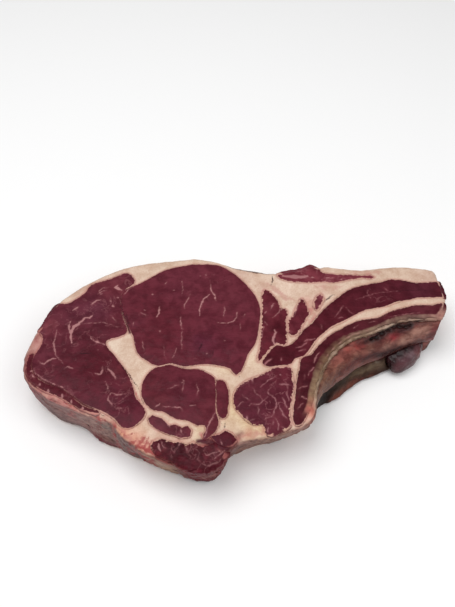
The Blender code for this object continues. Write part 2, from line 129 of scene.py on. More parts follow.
def strokes(places, lines, wiggle=0.25):
    # drawn lines as two fields: the depth of each place inside the nearest stroke, and its strength
    spots = wander(places, 2.4, wiggle)
    inside = np.full(len(places), -2.0)
    power = np.zeros(len(places))
    for width, strength, points in lines:
        points = np.array(points, float)
        steps = np.hypot(*np.diff(points, axis=0).T)
        along = np.concatenate([[0], np.cumsum(steps)]) / steps.sum()
        low, high = points.min(0) - width - 3, points.max(0) + width + 3
        near = np.flatnonzero(((spots > low) & (spots < high)).all(1))
        for a, b, atA, atB in zip(points, points[1:], along, along[1:]):
            gap, t = nearestGap(spots[near], a, b)
            place = atA + (atB - atA) * t
            half = width / 2 * (0.3 + 0.7 * np.sin(np.pi * np.clip(place, 0.03, 0.97)))
            depth = np.clip(half - gap, -2, 1)
            better = depth > inside[near]
            inside[near[better]] = depth[better]
            power[near[better]] = strength
    return inside, power


def softLines(places, lines, wiggle=0.35, blur=0.55):
    inside, power = strokes(places, lines, wiggle)
    return power * ramp(inside, -blur, 0.15)


def rimLines(nodeName):
    # the node's upper rim as flat segments, in drawing millimetres
    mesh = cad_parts[nodeName].data
    points = np.empty(len(mesh.vertices) * 3)
    mesh.vertices.foreach_get("co", points)
    points = np.round(points.reshape(-1, 3) / mm, 3)
    sides = {}
    for face in mesh.polygons:
        corners = [tuple(points[v]) for v in face.vertices]
        upper = face.normal.z > 0.8 and min(c[2] for c in corners) > 30
        for a, b in zip(corners, corners[1:] + corners[:1]):
            sides.setdefault(frozenset((a, b)), []).append(upper)
    rim = [sorted(edge) for edge, flags in sides.items() if len(edge) == 2 and any(flags) and not all(flags)]
    return np.array(rim)[:, :, :2] + drawingCentre


def rimDistance(places, rim, reach=6):
    best = np.full(len(places), farAway)
    for a, b in rim:
        low, high = np.minimum(a, b) - reach, np.maximum(a, b) + reach
        near = np.flatnonzero(((places[:, :2] > low) & (places[:, :2] < high)).all(1))
        if len(near):
            best[near] = np.minimum(best[near], nearestGap(places[near, :2], a, b)[0])
    return best


def insideRim(places, rim):
    # True where a place lies within the outline that the segments close
    crossings = np.zeros(len(places), int)
    x, y = places[:, 0], places[:, 1]
    for (ax, ay), (bx, by) in rim:
        if ay != by:
            spans = (ay > y) != (by > y)
            crossings += spans & (x < ax + (y - ay) * (bx - ax) / (by - ay))
    return crossings % 2 == 1


def store(piece, name, values):
    layer = piece.data.attributes.new(name, "FLOAT", "POINT")
    layer.data.foreach_set("value", np.asarray(values, np.float32))


def storeColour(piece, name, values):
    layer = piece.data.attributes.new(name, "FLOAT_COLOR", "POINT")
    full = np.concatenate([np.clip(values, 0, 1), np.ones((len(values), 1))], 1)
    layer.data.foreach_set("color", np.asarray(full, np.float32).ravel())


def blendSpots(places, base, spots, wobble=1.6):
    # base colours with soft coloured spots laid over them, in order
    colours = np.array(base, float)
    bent = places.copy()
    bent[:, :2] = wander(places, 5.0, wobble)
    bent[:, 2] += wobble * np.sin(places[:, 0] / 3.7) * np.cos(places[:, 1] / 4.9)
    for x, y, z, reach, flat, colour, strength in spots:
        gap = (bent - (x, y, z)) / (reach, reach, reach * flat)
        share = strength * np.exp(-(gap ** 2).sum(1))
        colours += share[:, None] * (np.array(tone(*colour)) - colours)
    return colours


def spotShare(places, spots):
    share = np.zeros(len(places))
    for x, y, z, reach, flat, colour, strength in spots:
        gap = (places - (x, y, z)) / (reach, reach, reach * flat)
        share = np.maximum(share, strength * np.exp(-(gap ** 2).sum(1)))
    return share


# shader nodes

def newGroup(name, inputs, outputs):
    # inputs and outputs are given as socket name and kind
    group = bpy.data.node_groups.new(name, "ShaderNodeTree")
    for way, sockets in (("INPUT", inputs), ("OUTPUT", outputs)):
        for socketName, kind in sockets.items():
            group.interface.new_socket(socketName, in_out=way, socket_type="NodeSocket" + kind)
    return group, group.nodes.new("NodeGroupInput"), group.nodes.new("NodeGroupOutput")


def feed(tree, node, values):
    # links or sets the node's inputs, named or numbered
    for key, value in values.items():
        if isinstance(value, bpy.types.NodeSocket):
            tree.links.new(value, node.inputs[key])
        else:
            node.inputs[key].default_value = value
    return node


def mathNode(tree, operation, a, b=0.5, clamp=False):
    node = tree.nodes.new("ShaderNodeMath")
    node.operation = operation
    node.use_clamp = clamp
    return feed(tree, node, {0: a, 1: b}).outputs[0]


def times(tree, a, b):
    return mathNode(tree, "MULTIPLY", a, b)


def plus(tree, a, b):
    return mathNode(tree, "ADD", a, b)


def mixColour(tree, share, a, b, kind="MIX"):
    node = tree.nodes.new("ShaderNodeMix")
    node.data_type = "RGBA"
    node.blend_type = kind
    a, b = (colour if isinstance(colour, bpy.types.NodeSocket) else (*colour, 1) for colour in (a, b))
    return feed(tree, node, {0: share, 6: a, 7: b}).outputs[2]


def shaded(tree, base, *factors):
    # the base colour times red, green and blue factors
    return mixColour(tree, 1.0, base, factors, "MULTIPLY")


def mapValue(tree, value, low, high, toLow=0.0, toHigh=1.0):
    node = tree.nodes.new("ShaderNodeMapRange")
    node.interpolation_type = "SMOOTHSTEP"
    return feed(tree, node, {0: value, 1: low, 2: high, 3: toLow, 4: toHigh}).outputs[0]


def noiseNode(tree, place, scale, detail=3.0, rough=0.55, bend=0.0):
    settings = {"Vector": place, "Scale": scale, "Detail": detail, "Roughness": rough, "Distortion": bend}
    return feed(tree, tree.nodes.new("ShaderNodeTexNoise"), settings).outputs["Fac"]


def addBump(tree, shader, strength, distance, height):
    bump = tree.nodes.new("ShaderNodeBump")
    feed(tree, bump, {"Strength": strength, "Distance": distance, "Height": height})
    tree.links.new(bump.outputs[0], shader.inputs["Normal"])


def makeGrainGroup():
    # muscle seen on a cut: slow patches of tone, fine fibres along one way, specks and wandering pale seams
    group, start, end = newGroup(
        "meatGrain", {"Place": "Vector", "Along": "Vector", "Seams": "Float"},
        {"Patches": "Float", "Fibres": "Float", "Specks": "Float", "Seams": "Float", "Height": "Float"})
    place, along = start.outputs["Place"], start.outputs["Along"]
    patches = noiseNode(group, place, 120.0, 4.0, 0.55, 0.3)
    fibres = noiseNode(group, along, 950.0, 3.0, 0.6, 0.4)
    specks = noiseNode(group, place, 2100.0, 2.0, 0.6)
    wave = noiseNode(group, place, 78.0, 5.0, 0.58, 0.5)
    offMiddle = mathNode(group, "ABSOLUTE", mathNode(group, "SUBTRACT", wave, 0.5))
    band = mapValue(group, offMiddle, 0.003, 0.022, 1.0, 0.0)
    gate = noiseNode(group, place, 52.0, 3.0, 0.6)
    limit = mathNode(group, "SUBTRACT", 0.66, times(group, start.outputs["Seams"], 0.24))
    opened = mapValue(group, gate, limit, plus(group, limit, 0.12))
    height = plus(group, times(group, fibres, 0.8), times(group, specks, 0.4))
    feed(group, end, {"Patches": patches, "Fibres": fibres, "Specks": specks, "Height": height,
                      "Seams": times(group, band, opened)})
    return group


def makeFatGroup():
    # cream fat: soft lumps, tiny pores, and a pinkish stain that frays with distance from the muscle
    group, start, end = newGroup(
        "fatGrain", {"Place": "Vector", "Base": "Color", "Stain": "Float"},
        {"Colour": "Color", "Height": "Float"})
    place, base = start.outputs["Place"], start.outputs["Base"]
    lump = noiseNode(group, place, 130.0, 5.0, 0.6, 0.3)
    pore = noiseNode(group, place, 900.0, 3.0, 0.65)
    shade = mixColour(group, mapValue(group, lump, 0.34, 0.66), shaded(group, base, 0.84, 0.77, 0.73), base)
    light = mapValue(group, pore, 0.5, 0.72, 0.0, 0.8)
    shade = mixColour(group, light, shade, shaded(group, shade, 1.12, 1.16, 1.18))
    dark = mapValue(group, pore, 0.5, 0.3, 0.0, 0.4)
    shade = mixColour(group, dark, shade, shaded(group, shade, 0.78, 0.64, 0.6))
    patchy = mapValue(group, lump, 0.3, 0.62, 0.5, 1.15)
    frayed = mathNode(group, "MULTIPLY", start.outputs["Stain"], patchy, clamp=True)
    shade = mixColour(group, frayed, shade, tone(178, 104, 100))
    height = plus(group, times(group, lump, 1.4), times(group, pore, 0.7))
    feed(group, end, {"Colour": shade, "Height": height})
    return group


def makeRagGroup():
    # turns a stored distance into a share with a ragged edge
    group, start, end = newGroup(
        "raggedEdge", {"Place": "Vector", "Distance": "Float", "Raggedness": "Float", "Softness": "Float"},
        {"Share": "Float"})
    frayed = noiseNode(group, start.outputs["Place"], 420.0, 4.0, 0.62, 0.3)
    reach = times(group, start.outputs["Raggedness"], 4.0)
    push = times(group, mathNode(group, "SUBTRACT", frayed, 0.5), reach)
    edge = plus(group, start.outputs["Distance"], push)
    softness = start.outputs["Softness"]
    feed(group, end, {"Share": mapValue(group, edge, times(group, softness, -1.0), softness)})
    return group


grainGroup = makeGrainGroup()
fatGroup = makeFatGroup()
ragGroup = makeRagGroup()


def newMaterial(name):
    material = bpy.data.materials.new(name)
    material.use_nodes = True
    tree = material.node_tree
    place = tree.nodes.new("ShaderNodeTexCoord").outputs["Object"]
    return material, tree, tree.nodes["Principled BSDF"], place


def attributeOf(tree, name, colour=False):
    node = tree.nodes.new("ShaderNodeAttribute")
    node.attribute_name = name
    return node.outputs["Color" if colour else "Fac"]


def useGroup(tree, group, **values):
    node = tree.nodes.new("ShaderNodeGroup")
    node.node_tree = group
    return feed(tree, node, values)


def ragged(tree, place, distance, raggedness, softness):
    node = useGroup(tree, ragGroup, Place=place, Distance=distance, Raggedness=raggedness, Softness=softness)
    return node.outputs["Share"]


# painted shade: darkens the colour toward the shade tone along the stored crease strokes, in creases, along
# seams and along the fat's far rim
def paintCreaseShade(tree, place, shade, creaseShadeTone):
    creaseShade = ragged(tree, place, attributeOf(tree, "creaseShade"), 0.2, 0.3)
    return mixColour(tree, times(tree, creaseShade, attributeOf(tree, "creaseShadePower")), shade, creaseShadeTone)


def turned(tree, place, degrees, scale):
    settings = {"Vector": place, "Rotation": (0, 0, math.radians(degrees)), "Scale": scale}
    return feed(tree, tree.nodes.new("ShaderNodeMapping"), settings).outputs[0]


def setFilm(shader, shine, coat, coatRough):
    shader.inputs["Specular IOR Level"].default_value = shine
    shader.inputs["Coat Weight"].default_value = coat
    shader.inputs["Coat Roughness"].default_value = coatRough


def wallLook(tree, place, base, torn):
    # the outer walls: streaks along the wall over patches of tone, strong where the fascia is torn
    streak = noiseNode(tree, turned(tree, place, 0, (0.45, 0.45, 1.0)), 420.0, 4.0, 0.68, 0.5)
    patch = noiseNode(tree, place, 150.0, 4.0, 0.6)
    shade = mixColour(tree, mapValue(tree, streak, 0.36, 0.64), shaded(tree, base, 0.58, 0.50, 0.51),
                      shaded(tree, base, 1.26, 1.27, 1.25))
    shade = mixColour(tree, mapValue(tree, torn, 0.0, 1.0, 0.16, 1.0), base, shade)
    return mixColour(tree, mapValue(tree, patch, 0.35, 0.65, 0.0, 0.35), shade, base), streak


def meatMaterial(name, look):
    material, tree, shader, place = newMaterial(name)
    along = turned(tree, place, look["turn"], look["fibre"])
    grain = useGroup(tree, grainGroup, Place=place, Along=along, Seams=look["seams"])
    base = attributeOf(tree, "tint", colour=True)
    flat = attributeOf(tree, "flat")
    shade = mixColour(tree, mapValue(tree, grain.outputs["Patches"], 0.33, 0.67),
                      shaded(tree, base, 0.74, 0.62, 0.68), shaded(tree, base, 1.16, 1.22, 1.20))
    if look["lobeCleftShade"]:  # ragged meat falls into rounded lobes, with painted shade in the clefts between them
        cells = feed(tree, tree.nodes.new("ShaderNodeTexVoronoi"), {"Vector": place, "Scale": 150.0})
        cells.feature = "DISTANCE_TO_EDGE"
        cleftShade = mapValue(tree, cells.outputs["Distance"], 0.02, 0.3, look["lobeCleftShade"], 0.0)
        shade = mixColour(tree, cleftShade, shade, shaded(tree, base, 0.5, 0.3, 0.4))
    lightFibres = mapValue(tree, grain.outputs["Fibres"], 0.5, 0.72, 0.0, look["fibreShow"])
    shade = mixColour(tree, lightFibres, shade, shaded(tree, base, 1.4, 1.5, 1.5))
    darkFibres = mapValue(tree, grain.outputs["Fibres"], 0.5, 0.3, 0.0, 0.35)
    shade = mixColour(tree, darkFibres, shade, shaded(tree, base, 0.66, 0.5, 0.56))
    specks = mapValue(tree, grain.outputs["Specks"], 0.58, 0.74, 0.0, 0.14)
    shade = mixColour(tree, specks, shade, tone(140, 84, 90))
    seams = times(tree, times(tree, grain.outputs["Seams"], look["seamShow"]), flat)
    shade = mixColour(tree, seams, shade, tone(*look["seamTone"]))
    # painted shade in the creases and along the seams
    shade = paintCreaseShade(tree, place, shade, tone(38, 8, 16))
    power = attributeOf(tree, "veinPower")
    halo = mapValue(tree, attributeOf(tree, "vein"), -1.1, 0.1, 0.0, 0.3)
    shade = mixColour(tree, times(tree, halo, power), shade, tone(146, 88, 92))
    veins = times(tree, ragged(tree, place, attributeOf(tree, "vein"), 0.42, 0.26), power)
    shade = mixColour(tree, veins, shade, tone(*look["veinTone"]))
    fatty = useGroup(tree, fatGroup, Place=place, Base=attributeOf(tree, "fatTint", colour=True),
                     Stain=attributeOf(tree, "stain"))
    wall, streak = wallLook(tree, place, base, attributeOf(tree, "torn"))
    wall = mixColour(tree, attributeOf(tree, "cover"), wall, fatty.outputs["Colour"])
    shade = mixColour(tree, flat, wall, shade)
    # the outermost rim is already the neighbouring fat, with a ragged edge
    outward = mathNode(tree, "SUBTRACT", look["feather"] * 0.4 - 0.45, attributeOf(tree, "rim"))
    edge = ragged(tree, place, outward, look["feather"], 0.24)
    fatShare = times(tree, edge, attributeOf(tree, "nearFat"))
    shade = mixColour(tree, fatShare, shade, fatty.outputs["Colour"])
    roughness = mapValue(tree, grain.outputs["Patches"], 0.3, 0.7, look["rough"] - 0.08, look["rough"] + 0.1)
    feed(tree, shader, {"Base Color": shade, "Roughness": roughness})
    height = plus(tree, grain.outputs["Height"], times(tree, veins, 0.35))
    upright = mathNode(tree, "SUBTRACT", 1.0, flat)
    height = plus(tree, height, times(tree, times(tree, streak, 1.5), upright))
    addBump(tree, shader, look["bump"], 0.0004, height)
    setFilm(shader, look["shine"], look["coat"], 0.2)
    return material


def fatMaterial(name, look):
    material, tree, shader, place = newMaterial(name)
    base = attributeOf(tree, "tint", colour=True)
    fatty = useGroup(tree, fatGroup, Place=place, Base=base, Stain=attributeOf(tree, "stain"))
    fray = ragged(tree, place, attributeOf(tree, "fray"), 1.1, 0.7)
    fray = times(tree, fray, attributeOf(tree, "frayPower"))
    frayed = mixColour(tree, fray, fatty.outputs["Colour"], tone(152, 58, 60))
    wall, streak = wallLook(tree, place, frayed, attributeOf(tree, "torn"))
    shade = mixColour(tree, attributeOf(tree, "wall"), frayed, wall)
    # painted shade along the seams and the fat's far rim
    shade = paintCreaseShade(tree, place, shade, tone(50, 20, 20))
    roughness = mapValue(tree, fatty.outputs["Height"], 0.7, 1.4, look["rough"] - 0.08, look["rough"] + 0.1)
    feed(tree, shader, {"Base Color": shade, "Roughness": roughness})
    folds = times(tree, times(tree, streak, 2.0), attributeOf(tree, "torn"))
    addBump(tree, shader, look["bump"], 0.0005, plus(tree, fatty.outputs["Height"], folds))
    setFilm(shader, look["shine"], look["coat"], 0.3)
    return material


def skinMaterial(name, look):
    # bone skin, membrane and the stub: a tint with patches, streaks along the bone and a wet film
    material, tree, shader, place = newMaterial(name)
    base = attributeOf(tree, "tint", colour=True)
    patch = noiseNode(tree, turned(tree, place, look["turn"], look["scale"]), look["patch"], 5.0, 0.64, 0.6)
    fine = noiseNode(tree, turned(tree, place, look["turn"], (0.5, 1, 1)), 780.0, 3.0, 0.7)
    shade = mixColour(tree, mapValue(tree, patch, 0.35, 0.65), shaded(tree, base, *look["dark"]),
                      shaded(tree, base, *look["light"]))
    specks = mapValue(tree, fine, 0.5, 0.7, 0.0, look["speck"])
    shade = mixColour(tree, specks, shade, shaded(tree, base, 1.9, 1.95, 1.85))
    roughness = mapValue(tree, fine, 0.3, 0.7, look["rough"] - 0.08, look["rough"] + 0.12)
    feed(tree, shader, {"Base Color": shade, "Roughness": roughness})
    addBump(tree, shader, look["bump"], 0.0006, plus(tree, times(tree, patch, 1.8), fine))
    setFilm(shader, look["shine"], look["coat"], 0.16)
    return material


# surfaces: each piece is its solid, remeshed finely, softened and roughened

cloudTextures = {}


def cloudTexture(size):
    if size not in cloudTextures:
        texture = bpy.data.textures.new("clouds" + str(size), "CLOUDS")
        texture.noise_scale = size * mm
        texture.noise_depth = 2
        cloudTextures[size] = texture
    return cloudTextures[size]


def sideGroup(piece):
    # a vertex group that is full on upright walls and empty on the cut faces
    places, normals = spread(piece)
    weights = 1 - ramp(np.abs(normals[:, 2]), 0.45, 0.8)
    group = piece.vertex_groups.new(name="sides")
    steps = np.round(weights * 10).astype(int)
    for step in range(1, 11):
        chosen = np.flatnonzero(steps == step).tolist()
        if chosen:
            group.add(chosen, step / 10, "REPLACE")


def addDisplace(piece, strength, texture=None, group=""):
    modifier = piece.modifiers.new("roughen", "DISPLACE")
    modifier.strength = strength * mm
    if texture:
        modifier.texture = texture
        modifier.texture_coords = "LOCAL"
        modifier.mid_level = 0.5
    else:
        modifier.mid_level = 0.0
    modifier.vertex_group = group


def moveOut(piece, push):
    # moves each vertex along its normal, by millimetres
    places, normals = spread(piece)
    moved = places + normals * push[:, None]
    moved[:, :2] -= drawingCentre
    piece.data.vertices.foreach_set("co", (moved * mm).ravel())
    piece.data.update()


def wrinkle(piece, amounts, mask):
    # folds of torn fascia pressed into the masked walls, mostly running along them
    places, normals = spread(piece)
    chosen = np.flatnonzero(mask > 0.05)
    if not len(chosen):
        return
    push = np.zeros(len(places))
    for seed, (depth, size) in enumerate(amounts):
        slanted = places[chosen].copy()
        slanted[:, 2] += 0.25 * slanted[:, 0]
        fold = 1 - 2 * np.abs(mottle(slanted, (size * 2.6, size * 2.6, size), 1.7 + seed))
        push[chosen] += depth * (fold - 0.55)
    moveOut(piece, push * mask)


def dressSolid(piece, look):
    remesh = piece.modifiers.new("remesh", "REMESH")
    remesh.mode = "VOXEL"
    remesh.voxel_size = look["voxel"] * mm
    remesh.use_smooth_shade = True
    soften = piece.modifiers.new("soften", "SMOOTH")
    soften.factor = 0.5
    soften.iterations = 2
    applyModifiers(piece)
    sideGroup(piece)
    if look.get("grow"):
        addDisplace(piece, look["grow"], group="sides")
    for strength, size in look["relief"]:
        addDisplace(piece, strength, cloudTexture(size))
    for strength, size in look["sideRelief"]:
        addDisplace(piece, strength, cloudTexture(size), "sides")
    applyModifiers(piece)
    piece.vertex_groups.clear()
    pick(piece)
    bpy.ops.object.shade_smooth()


def finishPiece(piece, nodeName, material):
    piece.data.materials.append(material)
    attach(piece, "root")
    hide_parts(nodeName)


# what several pieces share: tones of the fat and the outer wall, painted shade in the rib's gap and along the
# seams, creases and the fat's far rim

fatSpots = [
    # x, y, z, reach, flatness, tone, strength
    (110, 80, 42, 22, 1, (206, 178, 158), 0.8), (150, 74, 42, 14, 1, (205, 175, 160), 0.6),
    (36, 64, 42, 12, 1, (228, 202, 184), 0.8), (0, 74, 42, 10, 1, (204, 170, 156), 0.6),
    (18, 62, 42, 6, 1, (206, 168, 154), 0.6), (-60, 88, 42, 14, 1, (210, 186, 166), 0.7),
    (-120, 62, 42, 14, 1, (200, 164, 148), 0.7), (-100, 78, 42, 10, 1, (212, 184, 166), 0.6),
    (-100, 2, 42, 18, 1, (222, 202, 184), 0.6),
    (-96, 4, 42, 6, 1, (228, 208, 188), 0.6), (-20, -25, 42, 8, 1, (214, 180, 160), 0.4),
    (10, -50, 42, 14, 1, (224, 200, 160), 0.9), (-8, -42, 42, 11, 1, (220, 196, 158), 0.8),
    (-12, -10, 42, 8, 1, (222, 198, 168), 0.7), (8, -4, 42, 8, 1, (222, 198, 172), 0.7),
    (-27, -60, 42, 8, 1, (216, 192, 158), 0.7), (-40, -66, 42, 5, 1, (212, 170, 150), 0.6),
    (-142, -29, 41, 5, 1, (184, 112, 112), 0.9), (-134, -33.5, 41, 5, 1, (196, 128, 124), 0.9),
    (-126, -37.5, 41, 5, 1, (190, 118, 116), 0.9), (-118, -41, 41, 5, 1, (200, 136, 130), 0.9),
    (-110, -44.5, 41, 4, 1, (176, 104, 102), 0.9), (-102, -47.5, 41, 4, 1, (204, 146, 136), 0.9),
    (-94, -50.5, 41, 4, 1, (206, 150, 138), 0.8), (-72, -56, 42, 10, 1, (216, 184, 160), 0.6),
    (-82, -62, 40, 8, 1, (222, 158, 128), 0.9),
    (-71, -68, 40, 7, 1, (218, 146, 124), 0.8), (-64, -72, 41, 5, 1, (206, 128, 112), 0.8),
    (-88, -54, 41, 2.4, 1, (170, 80, 76), 0.8),
    (18, -58, 42, 5, 1, (224, 168, 130), 0.6), (4, -62, 42, 5, 1, (196, 132, 110), 0.6),
    (47, -46, 40.5, 5, 1.4, (214, 140, 122), 0.9), (48.8, -41, 41, 2.6, 1.4, (176, 58, 56), 0.7),
    (-152, 14, 42, 10, 1.2, (176, 112, 110), 0.9), (-155, 0, 42, 8, 1.2, (132, 62, 68), 0.95),
    (-156, -10, 42, 7, 1.2, (112, 44, 54), 0.97), (-151, -19, 42, 6, 1.2, (122, 56, 62), 0.95),
    (-154, 8, 42, 3.4, 1, (206, 152, 144), 0.8), (-152.5, 17, 42, 2.6, 1.4, (128, 48, 54), 0.9),
    (-149, 27, 42, 6, 1, (128, 56, 62), 0.95),
    (-25, -70, 42, 5, 1.4, (104, 26, 38), 0.98), (-18, -71, 42, 6.5, 1.4, (112, 42, 50), 0.98),
    (-22, -65, 42, 3.4, 1.4, (122, 50, 56), 0.9), (-3, -62.5, 42, 3, 1.4, (110, 34, 44), 0.8),
    (-27, -72, 42, 3.2, 1.2, (90, 22, 34), 0.9),
    (-11, -72, 42, 5, 1.4, (112, 46, 50), 0.97), (-5, -72, 41, 4, 1.4, (126, 62, 62), 0.95),
    (-9, -78, 40, 8, 1.4, (108, 42, 48), 0.98), (-6, -76, 40, 5, 2, (110, 46, 50), 0.98),
    (-3, -66, 42, 3, 1.2, (150, 90, 82), 0.8),
    (51, 48, 42, 5, 1, (214, 156, 146), 0.6), (54, 41, 42, 4, 1, (206, 146, 138), 0.7),
    (64, 62, 42, 9, 1, (216, 180, 166), 0.5), (30, 20, 42, 3, 1, (196, 140, 130), 0.7),
    (-76, -38, 42, 4, 1, (206, 156, 144), 0.6), (-55, -60, 42, 5, 1, (208, 164, 150), 0.5),
]
wallTones = [
    # x, y, reach of the patch and its colour, around the outer wall
    (-158, -10, 12, (126, 60, 66)), (-150, -24, 8, (138, 80, 82)), (-136, -33, 12, (138, 102, 100)),
    (-120, -42, 14, (152, 116, 112)), (-104, -47, 10, (156, 124, 118)), (-92, -53, 8, (148, 120, 114)),
    (-84, -60, 8, (130, 106, 104)), (-74, -68, 9, (128, 100, 100)), (-62, -76, 9, (168, 134, 116)),
    (-50, -80, 9, (164, 130, 112)), (-38, -85, 8, (100, 34, 42)), (-26, -87, 8, (112, 62, 66)),
    (-14, -83, 7, (112, 56, 56)), (-8, -74, 7, (112, 66, 64)), (2, -66, 8, (138, 104, 96)),
    (20, -62, 14, (150, 116, 104)), (38, -58, 10, (150, 112, 102)), (50, -50, 6, (150, 92, 82)),
    (54, -38, 7, (120, 82, 68)), (57, -20, 9, (128, 104, 84)), (66, 2, 12, (118, 92, 70)),
    (84, 17, 12, (122, 94, 78)),
    (104, 25, 12, (116, 84, 74)), (125, 32, 12, (122, 92, 82)), (150, 36, 8, (150, 112, 100)),
    (158, 50, 10, (176, 130, 120)), (158, 68, 10, (190, 150, 138)), (140, 82, 22, (206, 178, 160)),
    (90, 80, 26, (204, 174, 156)), (40, 78, 22, (196, 160, 146)), (0, 80, 24, (206, 178, 158)),
    (-45, 90, 30, (210, 184, 164)), (-90, 82, 26, (206, 178, 160)), (-125, 60, 22, (190, 150, 138)),
    (-146, 38, 10, (126, 66, 70)), (-152, 22, 9, (160, 104, 102)), (-158, 5, 11, (176, 128, 122)),
]
wallSpots = [
    # places seen on the walls, as for the fat
    (-112, -49, 7, 7, 0.9, (124, 50, 60), 0.97), (-105, -50, 5, 8, 0.8, (118, 44, 54), 0.97),
    (-98, -52, 3, 8, 0.8, (118, 48, 58), 0.95), (-122, -42, 4, 6, 0.7, (104, 66, 68), 0.8),
    (-152, -20, 30, 9, 1.2, (146, 84, 88), 0.85), (-148, -24, 36, 6, 0.8, (160, 96, 98), 0.7),
    (-93, -53, 3, 6, 0.8, (112, 60, 66), 0.8), (-144, -27, 22, 6, 1, (88, 70, 72), 0.7),
    (-124, -38, 4, 12, 0.5, (92, 72, 72), 0.8), (-113, -44, 27, 6, 0.7, (150, 122, 114), 0.6),
    (-136, -32, 10, 8, 0.8, (98, 78, 78), 0.6), (-96, -50, 32, 5, 0.6, (122, 118, 112), 0.7),
    (-89.6, -54, 9, 1.6, 1, (206, 178, 176), 0.8), (-80, -62, 6, 7, 0.7, (98, 74, 76), 0.6),
    (-72, -66, 9, 7, 0.5, (106, 88, 90), 0.6), (-120, -40, 39.5, 18, 0.08, (202, 134, 130), 0.8),
    (-94, -50, 39, 9, 0.14, (204, 148, 138), 0.85), (-138, -30, 39, 9, 0.1, (190, 116, 116), 0.8),
    (-150, -21, 38, 6, 0.5, (150, 84, 90), 0.7),
    (-135, -31, 41.5, 5, 0.3, (196, 124, 126), 0.6), (-126, -36, 38, 5, 0.4, (176, 120, 112), 0.5),
    (-57, -77, 38.5, 8, 0.35, (138, 58, 60), 0.85), (-49, -79, 38, 7, 0.4, (150, 64, 66), 0.8),
    (-62, -72, 20, 6, 0.8, (168, 136, 116), 0.6), (-52, -75, 9, 8, 0.7, (160, 128, 108), 0.7),
    (-43, -78, 15, 3.6, 1.1, (58, 18, 32), 0.95), (-38, -79, 13, 3.6, 0.9, (70, 34, 48), 0.85),
    (-45, -75, 6, 3, 0.8, (120, 38, 42), 0.8), (-41, -82, 34, 5, 0.8, (110, 34, 42), 0.8),
    (-31, -87, 36, 5, 0.5, (122, 84, 96), 0.6), (-27, -84, 20, 5, 0.5, (176, 142, 132), 0.5),
    (-21, -84, 20, 5, 0.8, (152, 112, 102), 0.7), (-15, -78, 14, 6, 0.8, (116, 56, 56), 0.8),
    (-12, -78, 30, 5, 0.8, (124, 72, 70), 0.6), (-8, -68, 24, 5, 0.8, (122, 82, 76), 0.6),
    (2, -64, 27, 12, 0.12, (84, 58, 56), 0.7), (-4, -69, 40, 6, 0.12, (92, 62, 60), 0.6),
    (14, -62, 10, 8, 0.6, (132, 98, 92), 0.5), (50, -45, 30, 5, 1.2, (190, 118, 102), 0.7),
]
ribGapShade = [
    # the open gap under the fatty skin, painted near-black as the shade in it
    (88.5, 14.8, 36.6, 2.6, 0.7, (88, 34, 32), 0.85), (93, 16, 36.2, 3, 0.8, (56, 20, 20), 0.97),
    (98, 17.8, 35.8, 4, 0.85, (22, 8, 10), 1.0), (102.5, 20, 36, 4.2, 0.9, (16, 6, 8), 1.0),
    (107, 22.4, 36.6, 4, 0.85, (18, 7, 8), 1.0), (111.5, 25, 37.6, 3.8, 0.8, (18, 7, 9), 1.0),
    (116, 27.2, 38, 3.8, 0.8, (18, 7, 9), 1.0), (120.5, 28.8, 37.4, 4, 0.9, (20, 8, 10), 1.0),
    (125, 29.4, 36.4, 4, 0.9, (22, 8, 10), 1.0), (129, 30.4, 36, 4, 0.9, (24, 9, 11), 1.0),
    (134, 32.2, 37.4, 3.2, 0.7, (34, 14, 16), 0.98), (139, 33.8, 38.4, 2.6, 0.6, (56, 26, 26), 0.9),
    (122, 26.4, 35, 2.6, 0.8, (60, 18, 22), 0.85), (128.5, 28, 34.4, 2.2, 0.8, (66, 22, 26), 0.85),
]
creamStrip = [
    # the fatty skin that covers the rib's upper edge
    (46.5, -42, 41, 4, 0.9, (182, 104, 92), 0.9), (48, -36, 41, 4, 0.8, (150, 108, 86), 0.9),
    (49.5, -29.6, 41, 5, 0.8, (138, 112, 86), 0.95), (52.5, -22.5, 40.5, 4.6, 0.8, (132, 108, 82), 0.95),
    (56, -15.8, 40, 4.6, 0.8, (126, 102, 78), 0.95), (58.6, -9.5, 40, 4.4, 0.8, (118, 92, 70), 0.95),
    (62, -4, 40, 4.4, 0.8, (112, 84, 64), 0.95), (66, 2, 39.4, 4.2, 0.8, (108, 80, 61), 0.95),
    (71, 7.5, 39.4, 4.2, 0.8, (106, 79, 61), 0.95), (77, 12.4, 39.6, 4.2, 0.8, (110, 84, 66), 0.95),
    (84, 16.4, 40, 4.2, 0.8, (118, 94, 76), 0.95), (91, 19, 40.4, 4.2, 0.8, (124, 100, 82), 0.95),
    (98, 22.6, 41, 4.2, 0.8, (128, 104, 86), 0.95), (105, 26.3, 41, 4.2, 0.8, (128, 102, 86), 0.95),
    (112, 29.8, 41, 4.2, 0.8, (126, 98, 84), 0.95), (119, 32.6, 40.8, 4.2, 0.8, (122, 94, 80), 0.95),
    (126, 34.6, 40.5, 4.2, 0.8, (120, 92, 80), 0.95), (133, 35.8, 40.4, 4.2, 0.8, (122, 92, 82), 0.95),
    (140, 36.2, 40, 4.2, 0.8, (126, 94, 84), 0.95), (147, 36.8, 39.6, 4.4, 0.8, (146, 106, 96), 0.9),
    (153, 38, 39.4, 5, 1, (170, 124, 112), 0.85),
]
